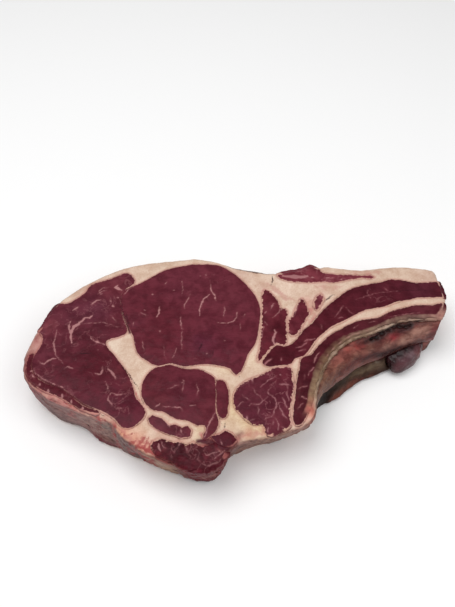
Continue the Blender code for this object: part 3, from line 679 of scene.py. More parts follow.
bareSeams = [
    # where muscle lies straight against muscle
    (4.0, 1.0, [(-88, 66), (-90, 62), (-91.7, 51), (-90.5, 40.8), (-87.3, 33.1), (-84.2, 25.6), (-82.6, 20)]),
    (3.0, 1.0, [(-152.4, 2), (-151.6, -6), (-149.3, -12), (-147.8, -15.5), (-144.3, -18), (-140.4, -20.4),
                (-137.2, -22.3), (-129.7, -26), (-126, -28), (-119, -33), (-110, -39.5), (-103, -43)]),
    (1.0, 1.0, [(-17.8, -20), (-17.8, -31), (-17.2, -42), (-15.7, -48)]),
    (4.4, 1.0, [(-30, -67), (-25, -66.5), (-19, -69), (-13, -72), (-7, -74), (-2, -71)]),
    (3.0, 1.0, [(-61, -70), (-57, -76), (-50, -79), (-41, -84)]),
]
openEnds = [
    # where a muscle is cut off at the outside
    (3.0, 1.0, [(150, 33), (154.5, 39), (158, 48), (159.5, 55), (158.6, 66), (156, 78)]),
    (3.0, 1.0, [(48, 85), (54, 87), (60, 86), (66, 85)]),
    (3.4, 1.0, [(-118, 69), (-130, 59), (-138, 51), (-144, 43), (-149, 33), (-152, 25)]),
    (2.4, 1.0, [(-157, 3), (-158, -6), (-156, -14), (-151, -21), (-146, -25)]),
    (2.5, 1.0, [(-58, -79), (-50, -83), (-40, -87), (-30, -88), (-18, -87), (-12, -82), (-8, -76)]),
]
redStreaks = [
    # meat that frays out over the fat beside the backbone end
    (2.8, 0.8, [(-66.5, -63.5), (-67.5, -66.5), (-70, -70)]),
    (2.0, 0.8, [(-63, -63), (-64.5, -68), (-66.5, -71)]),
    (3.2, 0.85, [(-59.5, -66), (-61.5, -70), (-63, -74)]),
    (1.6, 0.75, [(-70.5, -64.5), (-73, -67.5), (-77, -67)]),
    (0.9, 0.8, [(-76, -63), (-79, -62.4), (-82, -61)]),
    (0.8, 0.7, [(-85, -57), (-88.5, -54.6), (-91, -52.4)]),
    (2.2, 0.85, [(-57, -75.5), (-62, -74), (-67, -71.5), (-72, -69.6)]),
    (0.9, 0.8, [(-72, -61), (-75, -61.6)]),
    (0.8, 0.75, [(-94, -50.6), (-99, -48.6), (-104, -46.6)]),
    (1.0, 0.8, [(-113, -42.6), (-118, -40.4), (-124, -37.6)]),
]
# painted shade: dark lines along the seams between muscles and along the fat's far rim, as (width, strength,
# points)
seamShadeLines = [
    (0.9, 0.9, [(-91.7, 51), (-90.5, 40.8), (-87.3, 33.1), (-84.2, 25.6), (-82, 21.8)]),
    (1.1, 0.85, [(-91.3, -4.1), (-86.1, -9), (-80.1, -16.5), (-76, -22.6), (-72.1, -28.6)]),
    (0.9, 0.6, [(-71, -32), (-70, -36), (-68, -40)]),
    (0.8, 0.85, [(-17.8, -48.3), (-16.3, -53.6), (-15.3, -57.8), (-14.1, -59.4)]),
    (0.7, 0.8, [(-14.1, -59.4), (-12.9, -58.9), (-11.7, -54.7), (-11.2, -52.6)]),
    (0.6, 0.7, [(-14.8, -52.1), (-14.1, -54.7)]), (1.3, 0.9, [(-2.3, -17.8), (-1.7, -17.2)]),
    (1.3, 0.95, [(25.2, 73.5), (25.4, 68.5), (23.7, 64)]), (0.6, 0.4, [(23.1, 63.2), (23.5, 58)]),
    (0.6, 0.6, [(50.5, 62.5), (50.6, 59.5)]),
    (3.4, 0.75, [(-12, 85.4), (-6, 82.6), (4, 79.6), (14, 77.4), (24, 76.9), (34, 77)]),
    (1.5, 0.75, [(63, 47.7), (66.2, 50.6), (70.7, 55), (73.7, 55.4)]),
    (0.8, 0.8, [(-98, -46.4), (-94.5, -48.4)]),
]
fatStreaks = [
    # thin pale lines of connective tissue, drawn on whatever they cross
    (0.8, 0.6, [(-26.1, -65.3), (-24.5, -59.9), (-22.9, -54.7), (-20.1, -49.4), (-18.3, -45.1)]),
    (0.8, 0.7, [(-17.3, -47.3), (-16.3, -49.9), (-14.6, -51.5)]),
    (0.9, 0.35, [(-19.3, -78.6), (-14.2, -75.2), (-9.6, -72.1), (-4, -69.1), (4.9, -66.6)]),
    (0.8, 0.25, [(-26.2, -82.1), (-21.6, -83), (-17, -81.6), (-14, -79)]),
    (0.8, 0.35, [(-26.4, -73.2), (-24.5, -76.1), (-19.4, -75.2), (-14.7, -73.2)]),
    (0.7, 0.6, [(-90.4, 55), (-87.1, 60.6), (-82.8, 63.8)]),
]
pinkLines = [
    (3.0, 0.4, [(20, 66), (28, 60), (34, 52), (42, 50)]), (2.4, 0.5, [(50, 44), (56, 36), (52, 30)]),
    (2.0, 0.6, [(-78, -28), (-75, -34), (-71, -39)]), (2.4, 0.35, [(86, 78), (100, 77.5), (112, 78)]),
    (2.0, 0.35, [(60, 64), (72, 62), (80, 64)]), (2.2, 0.4, [(-60, -53), (-52, -57), (-46, -58)]),
    (2.0, 0.5, [(-28, -62), (-22, -66)]), (1.6, 0.45, [(30, 22), (33, 16), (31, 8)]),
    (1.5, 0.6, [(-90, -52), (-80, -62), (-72, -68), (-62, -73)]),
    (1.6, 0.5, [(0, -63), (12, -61), (22, -58)]),
    (1.2, 0.5, [(33, -2), (33, -20), (31, -40)]), (1.2, 0.5, [(-42, 84), (-36, 87)]),
]


def fatTones(places):
    return blendSpots(places, np.tile(tone(218, 192, 172), (len(places), 1)), fatSpots + creamStrip, 1.0)


def tornSide(places):
    # 1 along the front and the left end, where the fascia was torn off, 0 along the smooth fat of the back
    return ramp(50 - places[:, 1] - 0.25 * np.abs(places[:, 0]), 0, 14)


def wallTint(places):
    weights = np.zeros(len(places))
    mixed = np.zeros((len(places), 3))
    for x, y, reach, colour in wallTones:
        weight = np.exp(-((places[:, 0] - x) ** 2 + (places[:, 1] - y) ** 2) / reach ** 2) + 1e-9
        weights += weight
        mixed += weight[:, None] * np.array(tone(*colour))
    # the rib's gap is painted near-black here as shade
    return blendSpots(places, mixed / weights[:, None], wallSpots + creamStrip + ribGapShade, 0.8)


# the muscles: tone on the cut face, drawn veins, and creases painted as shade, as (width, strength, points)

muscles = {
    "eye_muscle": {
        "tone": (103, 43, 54), "voxel": 0.62, "turn": 0, "fibre": (0.22, 1.0, 1.0), "seams": 0.35,
        "seamShow": 0.22,
        "feather": 0.25,
        # lighter towards the back and darker towards the front: partly the muscle's own mottling, partly a
        # painted sheen from a light behind
        "spots": [
            (-40, 78, 42, 26, 0.7, (108, 50, 61), 0.7), (-5, 50, 42, 20, 1, (104, 47, 57), 0.6),
            (-60, 15, 42, 22, 1, (94, 32, 43), 0.7), (-15, 10, 42, 16, 1, (96, 36, 50), 0.6),
            (-30, 10, 42, 9, 1, (92, 40, 60), 0.5), (-75, 50, 42, 14, 1, (95, 36, 47), 0.6),
            (-60, 40, 42, 8, 1, (92, 28, 40), 0.5), (-80, 28, 42, 6, 1, (104, 52, 64), 0.4),
            (2, 20, 42, 10, 1, (100, 40, 50), 0.5), (-50, 60, 42, 10, 1, (98, 42, 54), 0.5),
        ],
        "veins": [
            (1.0, 0.75, [(-23.3, 63.7), (-22.6, 58), (-20.4, 54.5), (-19, 48.6)]),
            (1.1, 0.75, [(-24, 54.8), (-28, 50.8), (-30.3, 45), (-31.4, 39), (-31, 34.6)]),
            (0.8, 0.55, [(-38.8, 55), (-40.3, 50.8), (-43, 45.6), (-43, 41)]),
            (0.6, 0.4, [(-45.8, 68.5), (-44.7, 60.4), (-45.4, 54.5)]),
            (1.3, 0.7, [(-62, 43.4), (-62, 38), (-63.5, 33)]),
            (0.8, 0.6, [(-45.4, 33.8), (-45, 26.4), (-43.6, 22)]),
            (0.6, 0.4, [(-44, 20), (-44, 11.7), (-43.6, 5)]),
            (0.7, 0.45, [(-12.3, 43.4), (-12.3, 40.4), (-13, 33.8)]),
            (0.8, 0.6, [(-18, 28.7), (-15, 28), (-10.8, 28), (-5.6, 29.4), (-3.4, 33.8), (-3, 38)]),
            (0.6, 0.4, [(3.6, 36.4), (2, 34)]), (0.9, 0.6, [(-80.8, 29.4), (-81, 26.4)]),
            (0.9, 0.55, [(-58, 67.7), (-59.5, 65.5)]), (0.6, 0.4, [(-76, 38), (-72, 35.7), (-70, 35)]),
            (0.6, 0.4, [(-73, 11.7), (-71, 3.6)]), (0.5, 0.35, [(-0.5, 28.5), (-0.8, 22)]),
            (1.3, 0.45, [(-68.3, 55.6), (-67.6, 55.2)]), (1.0, 0.4, [(-52.4, 59.8), (-51.6, 59.2)]),
            (1.0, 0.4, [(-31.6, 73.9), (-31, 73.2)]), (1.0, 0.4, [(-27.6, 74.6), (-27, 74)]),
            (1.1, 0.5, [(-12.5, 12.8), (-12, 12)]), (1.0, 0.4, [(-60.8, 20.8), (-60.2, 20)]),
            (1.2, 0.45, [(-74, 40.5), (-72.4, 39.6)]), (0.6, 0.4, [(-79, 13), (-77.5, 10)]),
            (1.1, 0.4, [(-25.6, 2), (-24.6, 1)]), (0.5, 0.35, [(-57, 8), (-56, 0), (-54.5, -4)]),
            (0.6, 0.45, [(-47.5, 6), (-48.5, 1), (-50, -2)]),
        ],
        "creaseShadeLines": [
            (0.8, 0.6, [(-28, 11.7), (-30, 6.5), (-32, 2)]), (0.7, 0.5, [(-20.4, 4.3), (-21, -0.8)]),
            (0.6, 0.4, [(-56, 60), (-57.5, 57)]), (1.0, 0.5, [(-88, 40), (-85, 31), (-82, 25)]),
        ],
    },
    "cap_muscle": {
        "tone": (97, 41, 52), "voxel": 0.66, "turn": 35, "fibre": (0.4, 1.0, 1.0), "seams": 0.9,
        "seamShow": 0.3,
        "feather": 0.5,
        "spots": [
            (-100, 62, 42, 13, 1, (118, 58, 64), 0.6), (-112, 40, 42, 13, 1, (98, 50, 63), 0.7),
            (-130, 38, 42, 10, 1, (104, 52, 64), 0.5), (-118, 15, 42, 12, 1, (86, 30, 42), 0.7),
            (-92, 30, 42, 8, 1, (100, 42, 50), 0.5), (-105, -10, 42, 17, 1, (80, 16, 30), 0.9),
            (-82, -38, 42, 12, 1, (86, 22, 40), 0.8), (-128, -10, 42, 13, 1, (88, 30, 42), 0.8),
            (-144, 0, 42, 7, 1, (106, 54, 64), 0.6), (-144, 25.6, 42, 5, 1, (150, 84, 88), 0.5),
            (-88, -12, 42, 5, 1, (118, 56, 60), 0.6), (-80, -24, 42, 5, 1, (112, 54, 58), 0.5),
            (-95, 9, 42, 5, 1, (98, 34, 40), 0.5),
        ],
        "veins": [
            (2.0, 0.8, [(-112.2, 34.6), (-114.1, 32.7), (-117.2, 32.4), (-119.7, 29.7), (-122.1, 26.7),
                        (-124.7, 24.8), (-125.9, 21.8), (-126.2, 17.4), (-125.3, 13), (-124.5, 10.5)]),
            (1.3, 0.65, [(-127.9, 30.1), (-128.7, 27.1), (-128.5, 23.3), (-127, 18.9)]),
            (1.3, 0.65, [(-106.9, 49.8), (-110.3, 49), (-112.6, 47), (-114.3, 45.1)]),
            (1.3, 0.6, [(-123.3, 43.1), (-125.3, 41.6), (-127.5, 39.3)]),
            (2.2, 0.85, [(-96.1, 64.7), (-97.5, 62.2), (-94.2, 61), (-92.5, 59.8)]),
            (0.7, 0.5, [(-103.3, 62.2), (-107.1, 61.4), (-109.7, 58.2), (-108, 54.6), (-106.5, 55.8)]),
            (1.3, 0.6, [(-94.8, 52.8), (-94.1, 52.3)]), (1.3, 0.6, [(-100.2, 49.2), (-99.3, 48.8)]),
            (1.0, 0.6, [(-98.2, 45.5), (-97, 43.4)]), (1.0, 0.55, [(-88, 28.2), (-87, 27.4)]),
            (1.4, 0.65, [(-81, 29), (-81, 26.8)]), (1.0, 0.55, [(-87.4, 8.2), (-86.6, 7.6)]),
            (1.0, 0.55, [(-137.7, 22.6), (-137.6, 17.4), (-138.3, 11.6), (-137.1, 5.8), (-135.7, 2.2),
                         (-133.7, -1.3), (-130.9, -4.1), (-129, -6.9)]),
            (1.1, 0.6, [(-147.1, -3.8), (-145.2, -6.2), (-142.1, -6.9), (-140.4, -4.8), (-137.9, -3.1),
                        (-134.7, -2.7), (-133, -2)]),
            (0.8, 0.5, [(-126.9, -11.1), (-124.7, -9.7), (-121, -11.1)]),
            (0.9, 0.6, [(-99.7, -9.7), (-100, -15.2), (-101.3, -16.5), (-105, -15.2)]),
            (0.8, 0.85, [(-111.6, 16.3), (-110.1, 13.7), (-106.8, 11.6), (-103, 10.5), (-99.9, 9.4)]),
            (1.2, 0.6, [(-149.3, -10.4), (-147.8, -14.5), (-144.3, -17.6), (-140.4, -19.9), (-137.2, -21.9),
                        (-133.5, -23.3), (-129.7, -25), (-126, -26.3)]),
            (0.5, 0.5, [(-110.3, 55), (-106.8, 58.6), (-103.7, 59)]),
            (0.6, 0.4, [(-120, 27.1), (-103.1, 28.6), (-91.5, 24.8)]),
            (0.7, 0.5, [(-98.8, 35.8), (-96, 32.4), (-93.5, 29.7)]),
            (0.8, 0.5, [(-92, -31), (-88, -32.4), (-84, -32)]), (0.7, 0.45, [(-87, -43), (-82, -42.5)]),
            (0.9, 0.5, [(-92, -31), (-93.5, -36), (-90, -41)]),
            (0.8, 0.45, [(-97, -22), (-94, -26), (-95, -31)]),
            (1.6, 0.6, [(-96, -11), (-92, -15), (-89.5, -20)]),
        ],
        "creaseShadeLines": [
            (0.7, 0.5, [(-120.6, 14.1), (-118.3, 13.4), (-116.1, 12.3)]),
            (0.9, 0.8, [(-117.8, 1.5), (-113.5, 1.4), (-108.7, 1.7)]),
        ],
    },
    "rim_muscle": {
        "tone": (88, 28, 39), "voxel": 0.6, "turn": -60, "fibre": (0.25, 1, 1), "seams": 0.5, "seamShow": 0.3,
        "feather": 0.5,
        "veins": [
            (1.4, 0.6, [(-143.5, -22.6), (-142.6, -24.6)]), (1.4, 0.6, [(-136.5, -27.6), (-136, -30.6)]),
            (1.2, 0.6, [(-125.9, -31.5), (-125.4, -35.8)]), (1.2, 0.6, [(-119, -36), (-118.4, -39)]),
            (1.6, 0.7, [(-110.5, -41), (-110, -44)]), (1.0, 0.6, [(-149, -12), (-151.5, -13)]),
            (1.0, 0.7, [(-150, -16), (-147.4, -18)]),
        ],
    },
    "complexus": {
        "tone": (99, 41, 51), "voxel": 0.6, "turn": 80, "fibre": (0.3, 1, 1), "seams": 0.3, "seamShow": 0.2,
        "feather": 0.3,
        "spots": [
            (-38, -30, 42, 12, 1, (92, 34, 48), 0.6), (-62, -24, 42, 9, 1, (96, 34, 44), 0.5),
            (-24, -40, 42, 8, 1, (102, 44, 52), 0.6), (-60, -38, 42, 8, 1, (92, 38, 42), 0.5),
            (-21, -56, 42, 6, 1, (110, 46, 54), 0.5),
        ],
        "veins": [
            (0.8, 0.65, [(-47, -42), (-43, -42.3), (-41, -45)]),
            (0.7, 0.45, [(-55, -41.5), (-51, -41.8), (-47, -42)]),
            (0.8, 0.5, [(-32, -24), (-30.5, -29), (-31.5, -33)]),
            (0.7, 0.4, [(-42, -20.5), (-41, -22), (-42.5, -23)]),
            (0.6, 0.4, [(-36, -41), (-32, -40.5)]), (0.7, 0.35, [(-52, -28), (-47, -25.5), (-44, -25)]),
            (1.0, 0.5, [(-60, -42), (-57, -39.5)]), (0.6, 0.35, [(-41, -22), (-42, -30)]),
        ],
    },
    "complexus_slip": {
        "tone": (100, 40, 50), "voxel": 0.6, "turn": 88, "fibre": (0.2, 1, 1), "seams": 0.4, "seamShow": 0.3,
        "feather": 0.35,
    },
    "multifidus": {
        "tone": (100, 44, 54), "voxel": 0.55, "turn": 0, "fibre": (0.5, 1, 1), "seams": 0.5, "seamShow": 0.3,
        "feather": 0.45,
        "spots": [
            (-46, -59, 42, 5, 1, (84, 24, 38), 0.8), (-37, -60, 42, 3, 1, (110, 46, 54), 0.7),
            (-57, -54, 42, 5, 1, (108, 56, 64), 0.6),
        ],
        "veins": [(0.9, 0.5, [(-42, -58), (-41.4, -61)]), (0.8, 0.45, [(-51, -54), (-49.6, -57)])],
    },
    "chine_muscle": {
        "tone": (88, 24, 36), "voxel": 0.6, "turn": 30, "fibre": (0.5, 1, 1), "seams": 0.9, "seamShow": 0.3,
        "lobeCleftShade": 0.8,
        "feather": 1.3, "sideRelief": ((1.6, 7.0), (0.8, 3.0)), "relief": ((1.8, 6.0), (0.6, 2.4)),
        "spots": [
            (-55, -70, 42, 5, 1.2, (106, 48, 56), 0.6), (-46, -71, 42, 5, 1.2, (80, 26, 40), 0.7),
            (-38, -76, 42, 5, 1.2, (72, 14, 30), 0.85), (-31, -79, 42, 4, 1.2, (96, 26, 40), 0.7),
            (-33, -72, 42, 4, 1.2, (110, 40, 50), 0.6), (-28, -76, 42, 3.4, 1.2, (66, 12, 26), 0.85),
            (-21, -80, 41, 5, 1, (118, 60, 68), 0.7), (-13, -78, 41, 4, 1.2, (106, 48, 54), 0.6),
            (-34, -83, 40, 3.6, 1, (118, 56, 66), 0.6),
            (-42, -69, 42, 3.6, 1.2, (66, 10, 24), 0.8), (-51, -68, 42, 3, 1.2, (72, 14, 28), 0.7),
            (-58, -75, 42, 4, 1.2, (120, 40, 46), 0.6), (-17, -73, 42, 4, 1.2, (130, 76, 80), 0.5),
        ],
        "veins": [
            (1.5, 0.6, [(-56.6, -69), (-56, -71), (-54.8, -73.7)]),
            (0.8, 0.5, [(-54.8, -66.6), (-54, -69), (-52, -72)]),
            (1.0, 0.4, [(-38.1, -70), (-36.8, -73.2)]), (0.7, 0.35, [(-42, -67.5), (-43, -70)]),
            (0.7, 0.18, [(-36, -67), (-34.6, -71), (-36, -74.4), (-34.4, -77.6)]),
            (0.7, 0.2, [(-29.6, -68), (-30.8, -72), (-28.6, -75), (-30, -78.6), (-27, -81.4)]),
            (0.7, 0.18, [(-46.5, -69), (-47.6, -72.4), (-45.4, -75)]),
            (0.7, 0.2, [(-24, -69.4), (-25.6, -73)]),
        ],
    },
    "chine_tip": {
        "tone": (80, 20, 34), "voxel": 0.55, "turn": 0, "fibre": (0.5, 1, 1), "seams": 0.4, "seamShow": 0.35,
        "feather": 0.7,
        "spots": [(-18, -65, 42, 4, 1, (82, 34, 46), 0.8), (-6, -65, 42, 3, 1, (104, 40, 48), 0.5)],
        "veins": [(0.7, 0.5, [(-15, -66), (-13.5, -69.5)])],
    },
    "costal_muscle": {
        "thin": 0.72, "veinTone": (164, 112, 116), "tone": (94, 38, 50), "voxel": 0.62, "turn": 60,
        "fibre": (0.4, 1, 1), "seams": 0.9, "seamShow": 0.5,
        "feather": 1.3,
        "spots": [
            (8, -30, 42, 8, 1, (104, 50, 60), 0.5), (20, -40, 42, 8, 1, (84, 28, 44), 0.6),
            (28, -50, 42, 9, 1, (118, 58, 66), 0.5), (3, -40, 42, 6, 1, (80, 26, 40), 0.6),
            (30, -15, 42, 8, 1, (108, 42, 52), 0.6), (12, -50, 42, 6, 1, (90, 34, 48), 0.6),
        ],
        "veins": [
            (1.1, 0.55, [(20.6, -26.4), (18.6, -29.1), (18.3, -31.7), (20.8, -33), (22.8, -35.4),
                         (24.1, -38.5), (23.5, -41.1), (22, -44.2), (21.2, -47.3), (20.2, -49.1),
                         (16.5, -49.8), (15.6, -50.9)]),
            (1.0, 0.5, [(18.2, -33.6), (15.6, -35.9), (13.2, -38.5), (11.3, -39.8), (8.5, -39.8),
                        (6.2, -39.6), (4.8, -40.6)]),
            (1.0, 0.5, [(0.5, -32.2), (1.6, -33.8), (3.5, -35.1), (4.9, -36.5)]),
            (0.9, 0.5, [(-3.6, -41.4), (-2.4, -40.6), (-0.8, -38.5), (1.1, -38)]),
            (0.9, 0.45, [(11.3, -41.7), (11.2, -44.7), (10.9, -46.8)]),
            (0.8, 0.45, [(4.6, -52.9), (6.4, -51.4), (8.7, -50.9)]),
            (1.0, 0.55, [(13, -26), (16.5, -23.2), (18.4, -21), (21.4, -19.1), (24.8, -17.2)]),
            (0.9, 0.6, [(22.7, -8.9), (25.6, -8.6), (28.5, -7.7)]), (1.6, 0.6, [(27.4, -16.1), (28, -16.6)]),
            (1.6, 0.55, [(26.8, -24.2), (29.7, -23.7), (32, -24.2), (34.9, -24.8)]),
            (1.2, 0.6, [(28.3, -34.4), (29.3, -37), (30.1, -39.6), (30.9, -42.2)]),
            (1.0, 0.55, [(31, -30.1), (32.1, -33.3), (32.8, -36.5)]),
            (1.2, 0.6, [(25.3, -38.5), (26.1, -41.7), (27.3, -45.3), (29, -48.3), (31.2, -50.9)]),
            (1.2, 0.55, [(22, -49.8), (23.8, -51.4), (24.6, -54.9), (24.4, -58.9)]),
            (1.2, 0.6, [(17.7, -56.9), (17.1, -59.9), (17.9, -62.8)]),
            (1.0, 0.5, [(21.1, -51.9), (20.7, -54.9)]), (1.4, 0.8, [(7.1, -18.9), (7.5, -22.1)]),
            (1.3, 0.8, [(3.5, -48.3), (3, -51.9)]), (0.8, 0.9, [(27, -56), (27.6, -56.8)]),
            (0.8, 0.9, [(20.3, -62.8), (20.9, -63.4)]),
            (0.8, 0.45, [(8, -27), (9.5, -31), (13, -34)]),
        ],
    },
    "blade_muscle_long": {
        "tone": (98, 36, 46), "voxel": 0.6, "turn": 78, "fibre": (0.25, 1, 1), "seams": 0.6, "seamShow": 0.35,
        "feather": 1.3,
        "spots": [
            (20, 42, 42, 7, 1, (112, 54, 62), 0.6), (29, 24, 42, 6, 1, (74, 17, 29), 0.8),
            (16, 20, 42, 4, 1, (110, 46, 54), 0.5), (30, 10, 42, 5, 1, (74, 18, 30), 0.6),
        ],
        "veins": [
            (1.1, 0.55, [(26, 46.3), (23.6, 44.1), (22.6, 40.5)]),
            (0.8, 0.45, [(28.9, 46.3), (29.9, 42), (28.5, 37.7), (25.5, 34.1), (23.7, 32.7)]),
            (0.9, 0.45, [(19.3, 39.1), (18.1, 37)]),
            (1.8, 0.7, [(25, 22.3), (25.8, 19.6), (24.2, 16.2), (23.2, 12.1), (24, 9.8), (26.3, 10.5)]),
            (1.2, 0.6, [(26.3, 10.5), (22.8, 7.5), (20.4, 4.2), (18.1, 0.9)]),
            (0.8, 0.4, [(17.9, 29.9), (19.2, 26.5)]), (0.7, 0.6, [(17.1, 25.1), (15.9, 20.9), (15.1, 15.5)]),
        ],
        "creaseShadeLines": [(1.4, 0.7, [(25.1, 14), (25.5, 13)])],
    },
    "blade_muscle_middle": {
        "tone": (99, 38, 48), "voxel": 0.6, "turn": 62, "fibre": (0.25, 1, 1), "seams": 0.6, "seamShow": 0.35,
        "feather": 1.4, "veins": [(0.8, 0.5, [(44, 46), (42, 40), (40, 34)])],
    },
    "blade_muscle_short": {
        "tone": (114, 56, 64), "voxel": 0.5, "turn": 62, "fibre": (0.3, 1, 1), "seams": 0.9, "seamShow": 0.5,
        "feather": 1.5,
    },
    "serratus": {
        "thin": 0.72, "veinTone": (164, 104, 108), "tone": (84, 26, 37), "voxel": 0.66, "turn": -24,
        "fibre": (0.16, 1, 1), "seams": 0.35, "seamShow": 0.25,
        "feather": 0.45,
        "spots": [
            (140, 61, 42, 16, 1, (84, 38, 50), 0.7), (100, 53, 42, 16, 1, (84, 32, 42), 0.5),
            (30, 0, 42, 13, 1, (76, 16, 28), 0.85), (52, 22, 42, 12, 1, (88, 28, 39), 0.6),
            (110, 60, 42, 7, 1, (96, 42, 52), 0.5), (72, 34, 42, 9, 1, (78, 24, 34), 0.5),
            (48, 12, 42, 5, 1, (112, 50, 56), 0.5),
        ],
        "veins": [
            (0.8, 0.6, [(71, 34), (74, 38), (78, 44.5)]), (0.7, 0.5, [(80, 43), (83, 38.5), (86, 36.4)]),
            (1.0, 0.6, [(13.5, -3.6), (18, 0.3), (20.5, 5.4), (23, 9), (26, 10.5)]),
            (1.6, 0.6, [(54.7, 14.8), (51.3, 14.2), (47.8, 13.1), (46.1, 12.1)]),
            (1.4, 0.5, [(40, 6.5), (44, 8), (49, 12.5)]), (1.1, 0.5, [(42, 3.5), (47, 5.6)]),
            (0.6, 0.45, [(100, 51), (98, 56), (99, 60)]), (0.7, 0.45, [(112, 62), (114, 59)]),
            (0.8, 0.5, [(59.7, 27.8), (60.5, 23.7)]), (0.8, 0.5, [(73.4, 33.4), (76.9, 33.8)]),
            (1.0, 0.5, [(29, -2), (28.4, -4.5)]), (0.8, 0.35, [(88, 50), (104, 56), (122, 59)]),
            (1.8, 0.75, [(16, -8.4), (18.8, -5), (21.4, -3)]),
        ],
        "creaseShadeLines": [(0.8, 0.4, [(118, 58), (130, 60), (142, 60.5)])],
    },
    "back_strip": {
        "tone": (124, 60, 68), "voxel": 0.6, "turn": 0, "fibre": (0.3, 1, 1), "seams": 0.9, "seamShow": 0.6,
        "feather": 0.9,
        "spots": [(60, 83, 42, 5, 1, (96, 36, 44), 0.6), (46, 78, 42, 5, 1, (110, 46, 54), 0.5)],
        "veins": [
            (3.6, 0.6, [(33.7, 73.9), (39.7, 73.5), (48.2, 73.1), (53.1, 74.3)]),
            (1.8, 0.6, [(56.6, 73.1), (57.8, 73.1)]), (1.6, 0.55, [(78.6, 70.4), (80, 70.4)]),
            (0.8, 0.5, [(66, 73), (74, 72)]), (0.7, 0.45, [(44, 78), (49, 79.5)]),
        ],
    },
    "intercostal_upper": {
        "thin": 0.72, "veinTone": (164, 110, 110), "tone": (82, 27, 37), "voxel": 0.62, "turn": -24,
        "fibre": (0.18, 1, 1), "seams": 0.5, "seamShow": 0.35,
        "feather": 0.5,
        "spots": [
            (44, -30, 42, 14, 1, (72, 16, 28), 0.8), (64, 10, 42, 10, 1, (72, 16, 27), 0.7),
            (140, 42, 42, 14, 1, (98, 46, 54), 0.6), (46, -44, 42, 7, 1, (78, 18, 26), 0.6),
            (56, -8, 42, 6, 1, (68, 16, 30), 0.5), (100, 30, 42, 12, 1, (84, 40, 44), 0.5),
        ],
        "veins": [
            (0.9, 0.55, [(47.2, -16.6), (48.4, -13.9), (52, -10)]),
            (0.7, 0.45, [(44.9, -16.1), (44.2, -19.4)]),
            (0.8, 0.5, [(39, -27.5), (42.8, -25.8), (46.2, -24.8)]),
            (1.1, 0.65, [(41.9, -33.3), (44.2, -34.4), (45.9, -35.9)]),
            (0.7, 0.45, [(38.1, -42.7), (40.5, -40.1), (42.5, -38.5)]),
            (1.2, 0.65, [(52, -6), (54, -1), (57, 3)]), (0.9, 0.85, [(56.5, -9), (57.4, -6)]),
            (0.7, 0.5, [(96, 29), (101, 30)]), (0.6, 0.5, [(84, 24), (88, 26.5)]),
            (0.8, 0.45, [(112, 34), (124, 37), (136, 39)]),
        ],
    },
}

usualMuscle = {
    "rough": 0.44, "bump": 0.28, "shine": 0.09, "coat": 0.015, "fibreShow": 0.22, "seamTone": (150, 94, 98),
    "veinTone": (180, 128, 128), "thin": 1.0, "lobeCleftShade": 0.0, "grow": 1.35, "relief": ((0.7, 9.0), (0.25, 1.8)),
    "sideRelief": ((0.7, 5.0),), "spots": [], "veins": [], "creaseShadeLines": [],
}
muscles = {name: {**usualMuscle, **look} for name, look in muscles.items()}
meatDepth = (0.86, 0.66, 0.74)  # the grain lightens the meat, so its tones start deeper
redWall, bareMuscle, seamRed = tone(110, 44, 50), tone(84, 28, 37), tone(80, 28, 38)
fatRim = rimLines("fat")
rims = {name: rimLines(name) for name in muscles}


def middles(rim):
    # the middle of every segment of a rim, on the upper cut face
    return np.column_stack([rim.mean(1), np.full(len(rim), thickness)])


for nodeName, look in muscles.items():
    piece = copyNode(nodeName, nodeName + "Meat")
    dressSolid(piece, look)
    places, normals = spread(piece)
    rim = rims[nodeName]
    borders = rimDistance(middles(rim), fatRim) < grownTogether
    flat = ramp(np.abs(normals[:, 2]), 0.25, 0.7)
    wallShare = 1 - ramp(np.abs(normals[:, 2]), 0.35, 0.75)
    outer = wallShare * (rimDistance(places, rim[~borders], 9) < 6)
    wrinkle(piece, ((0.9, 4.2), (0.4, 1.8)), outer)
    inward = np.where(insideRim(places, rim), 1, -1) * rimDistance(places, rim)
    toFat = rimDistance(places, rim[borders])
    base = np.tile(tone(*look["tone"]), (len(places), 1))
    base = blendSpots(places, base, look["spots"]) * meatDepth
    side = wallTint(places)
    redder = side + 0.35 * (redWall - side)
    cover = ramp(39 + 3 * mottle(places, 6.0, 2) - places[:, 2], 0, 3) * (1 - tornSide(places)) * wallShare
    base += (1 - flat)[:, None] * (redder - base)
    skin = np.zeros(len(places))
    if nodeName == "intercostal_upper":  # fatty skin laps over the rim above the rib
        skin = np.clip(1.7 * spotShare(places, creamStrip), 0, 1)
        width = 3.0 - 2.2 * ramp(places[:, 0], 62, 92)
        skin *= 1 - ramp(inward + 0.6 * mottle(places, 3.0, 4) - width, -0.6, 0.5)
        base += skin[:, None] * (1.05 * side - base)
    veins = [(width * look["thin"], strength, points) for width, strength, points in look["veins"]]
    vein, power = strokes(places, veins + fatStreaks)
    storeColour(piece, "tint", base)
    fatTint = fatTones(places)
    fatTint += wallShare[:, None] * (side - fatTint)
    storeColour(piece, "fatTint", fatTint)
    store(piece, "cover", cover)
    store(piece, "flat", flat)
    store(piece, "torn", tornSide(places))
    store(piece, "rim", np.clip(inward, -3, 5))
    bare = softLines(places, bareSeams + openEnds, 0.1, 0.9)
    store(piece, "nearFat", flat * (1 - ramp(toFat, 3.0, 4.5)) * (1 - bare) * (1 - skin))
    store(piece, "stain", 0.5 * (1 - spotShare(places, creamStrip)) * (1 - wallShare))
    store(piece, "vein", vein)
    store(piece, "veinPower", power * flat * (1 - skin))
    # strokes for the painted shade in creases and along seams, on the cut faces only
    creaseShade, creaseShadePower = strokes(places, look["creaseShadeLines"] + seamShadeLines)
    store(piece, "creaseShade", creaseShade)
    store(piece, "creaseShadePower", creaseShadePower * flat)
    finishPiece(piece, nodeName,
                meatMaterial(nodeName + "Surface", look))
print("muscles dressed")


# the fat with its fascia

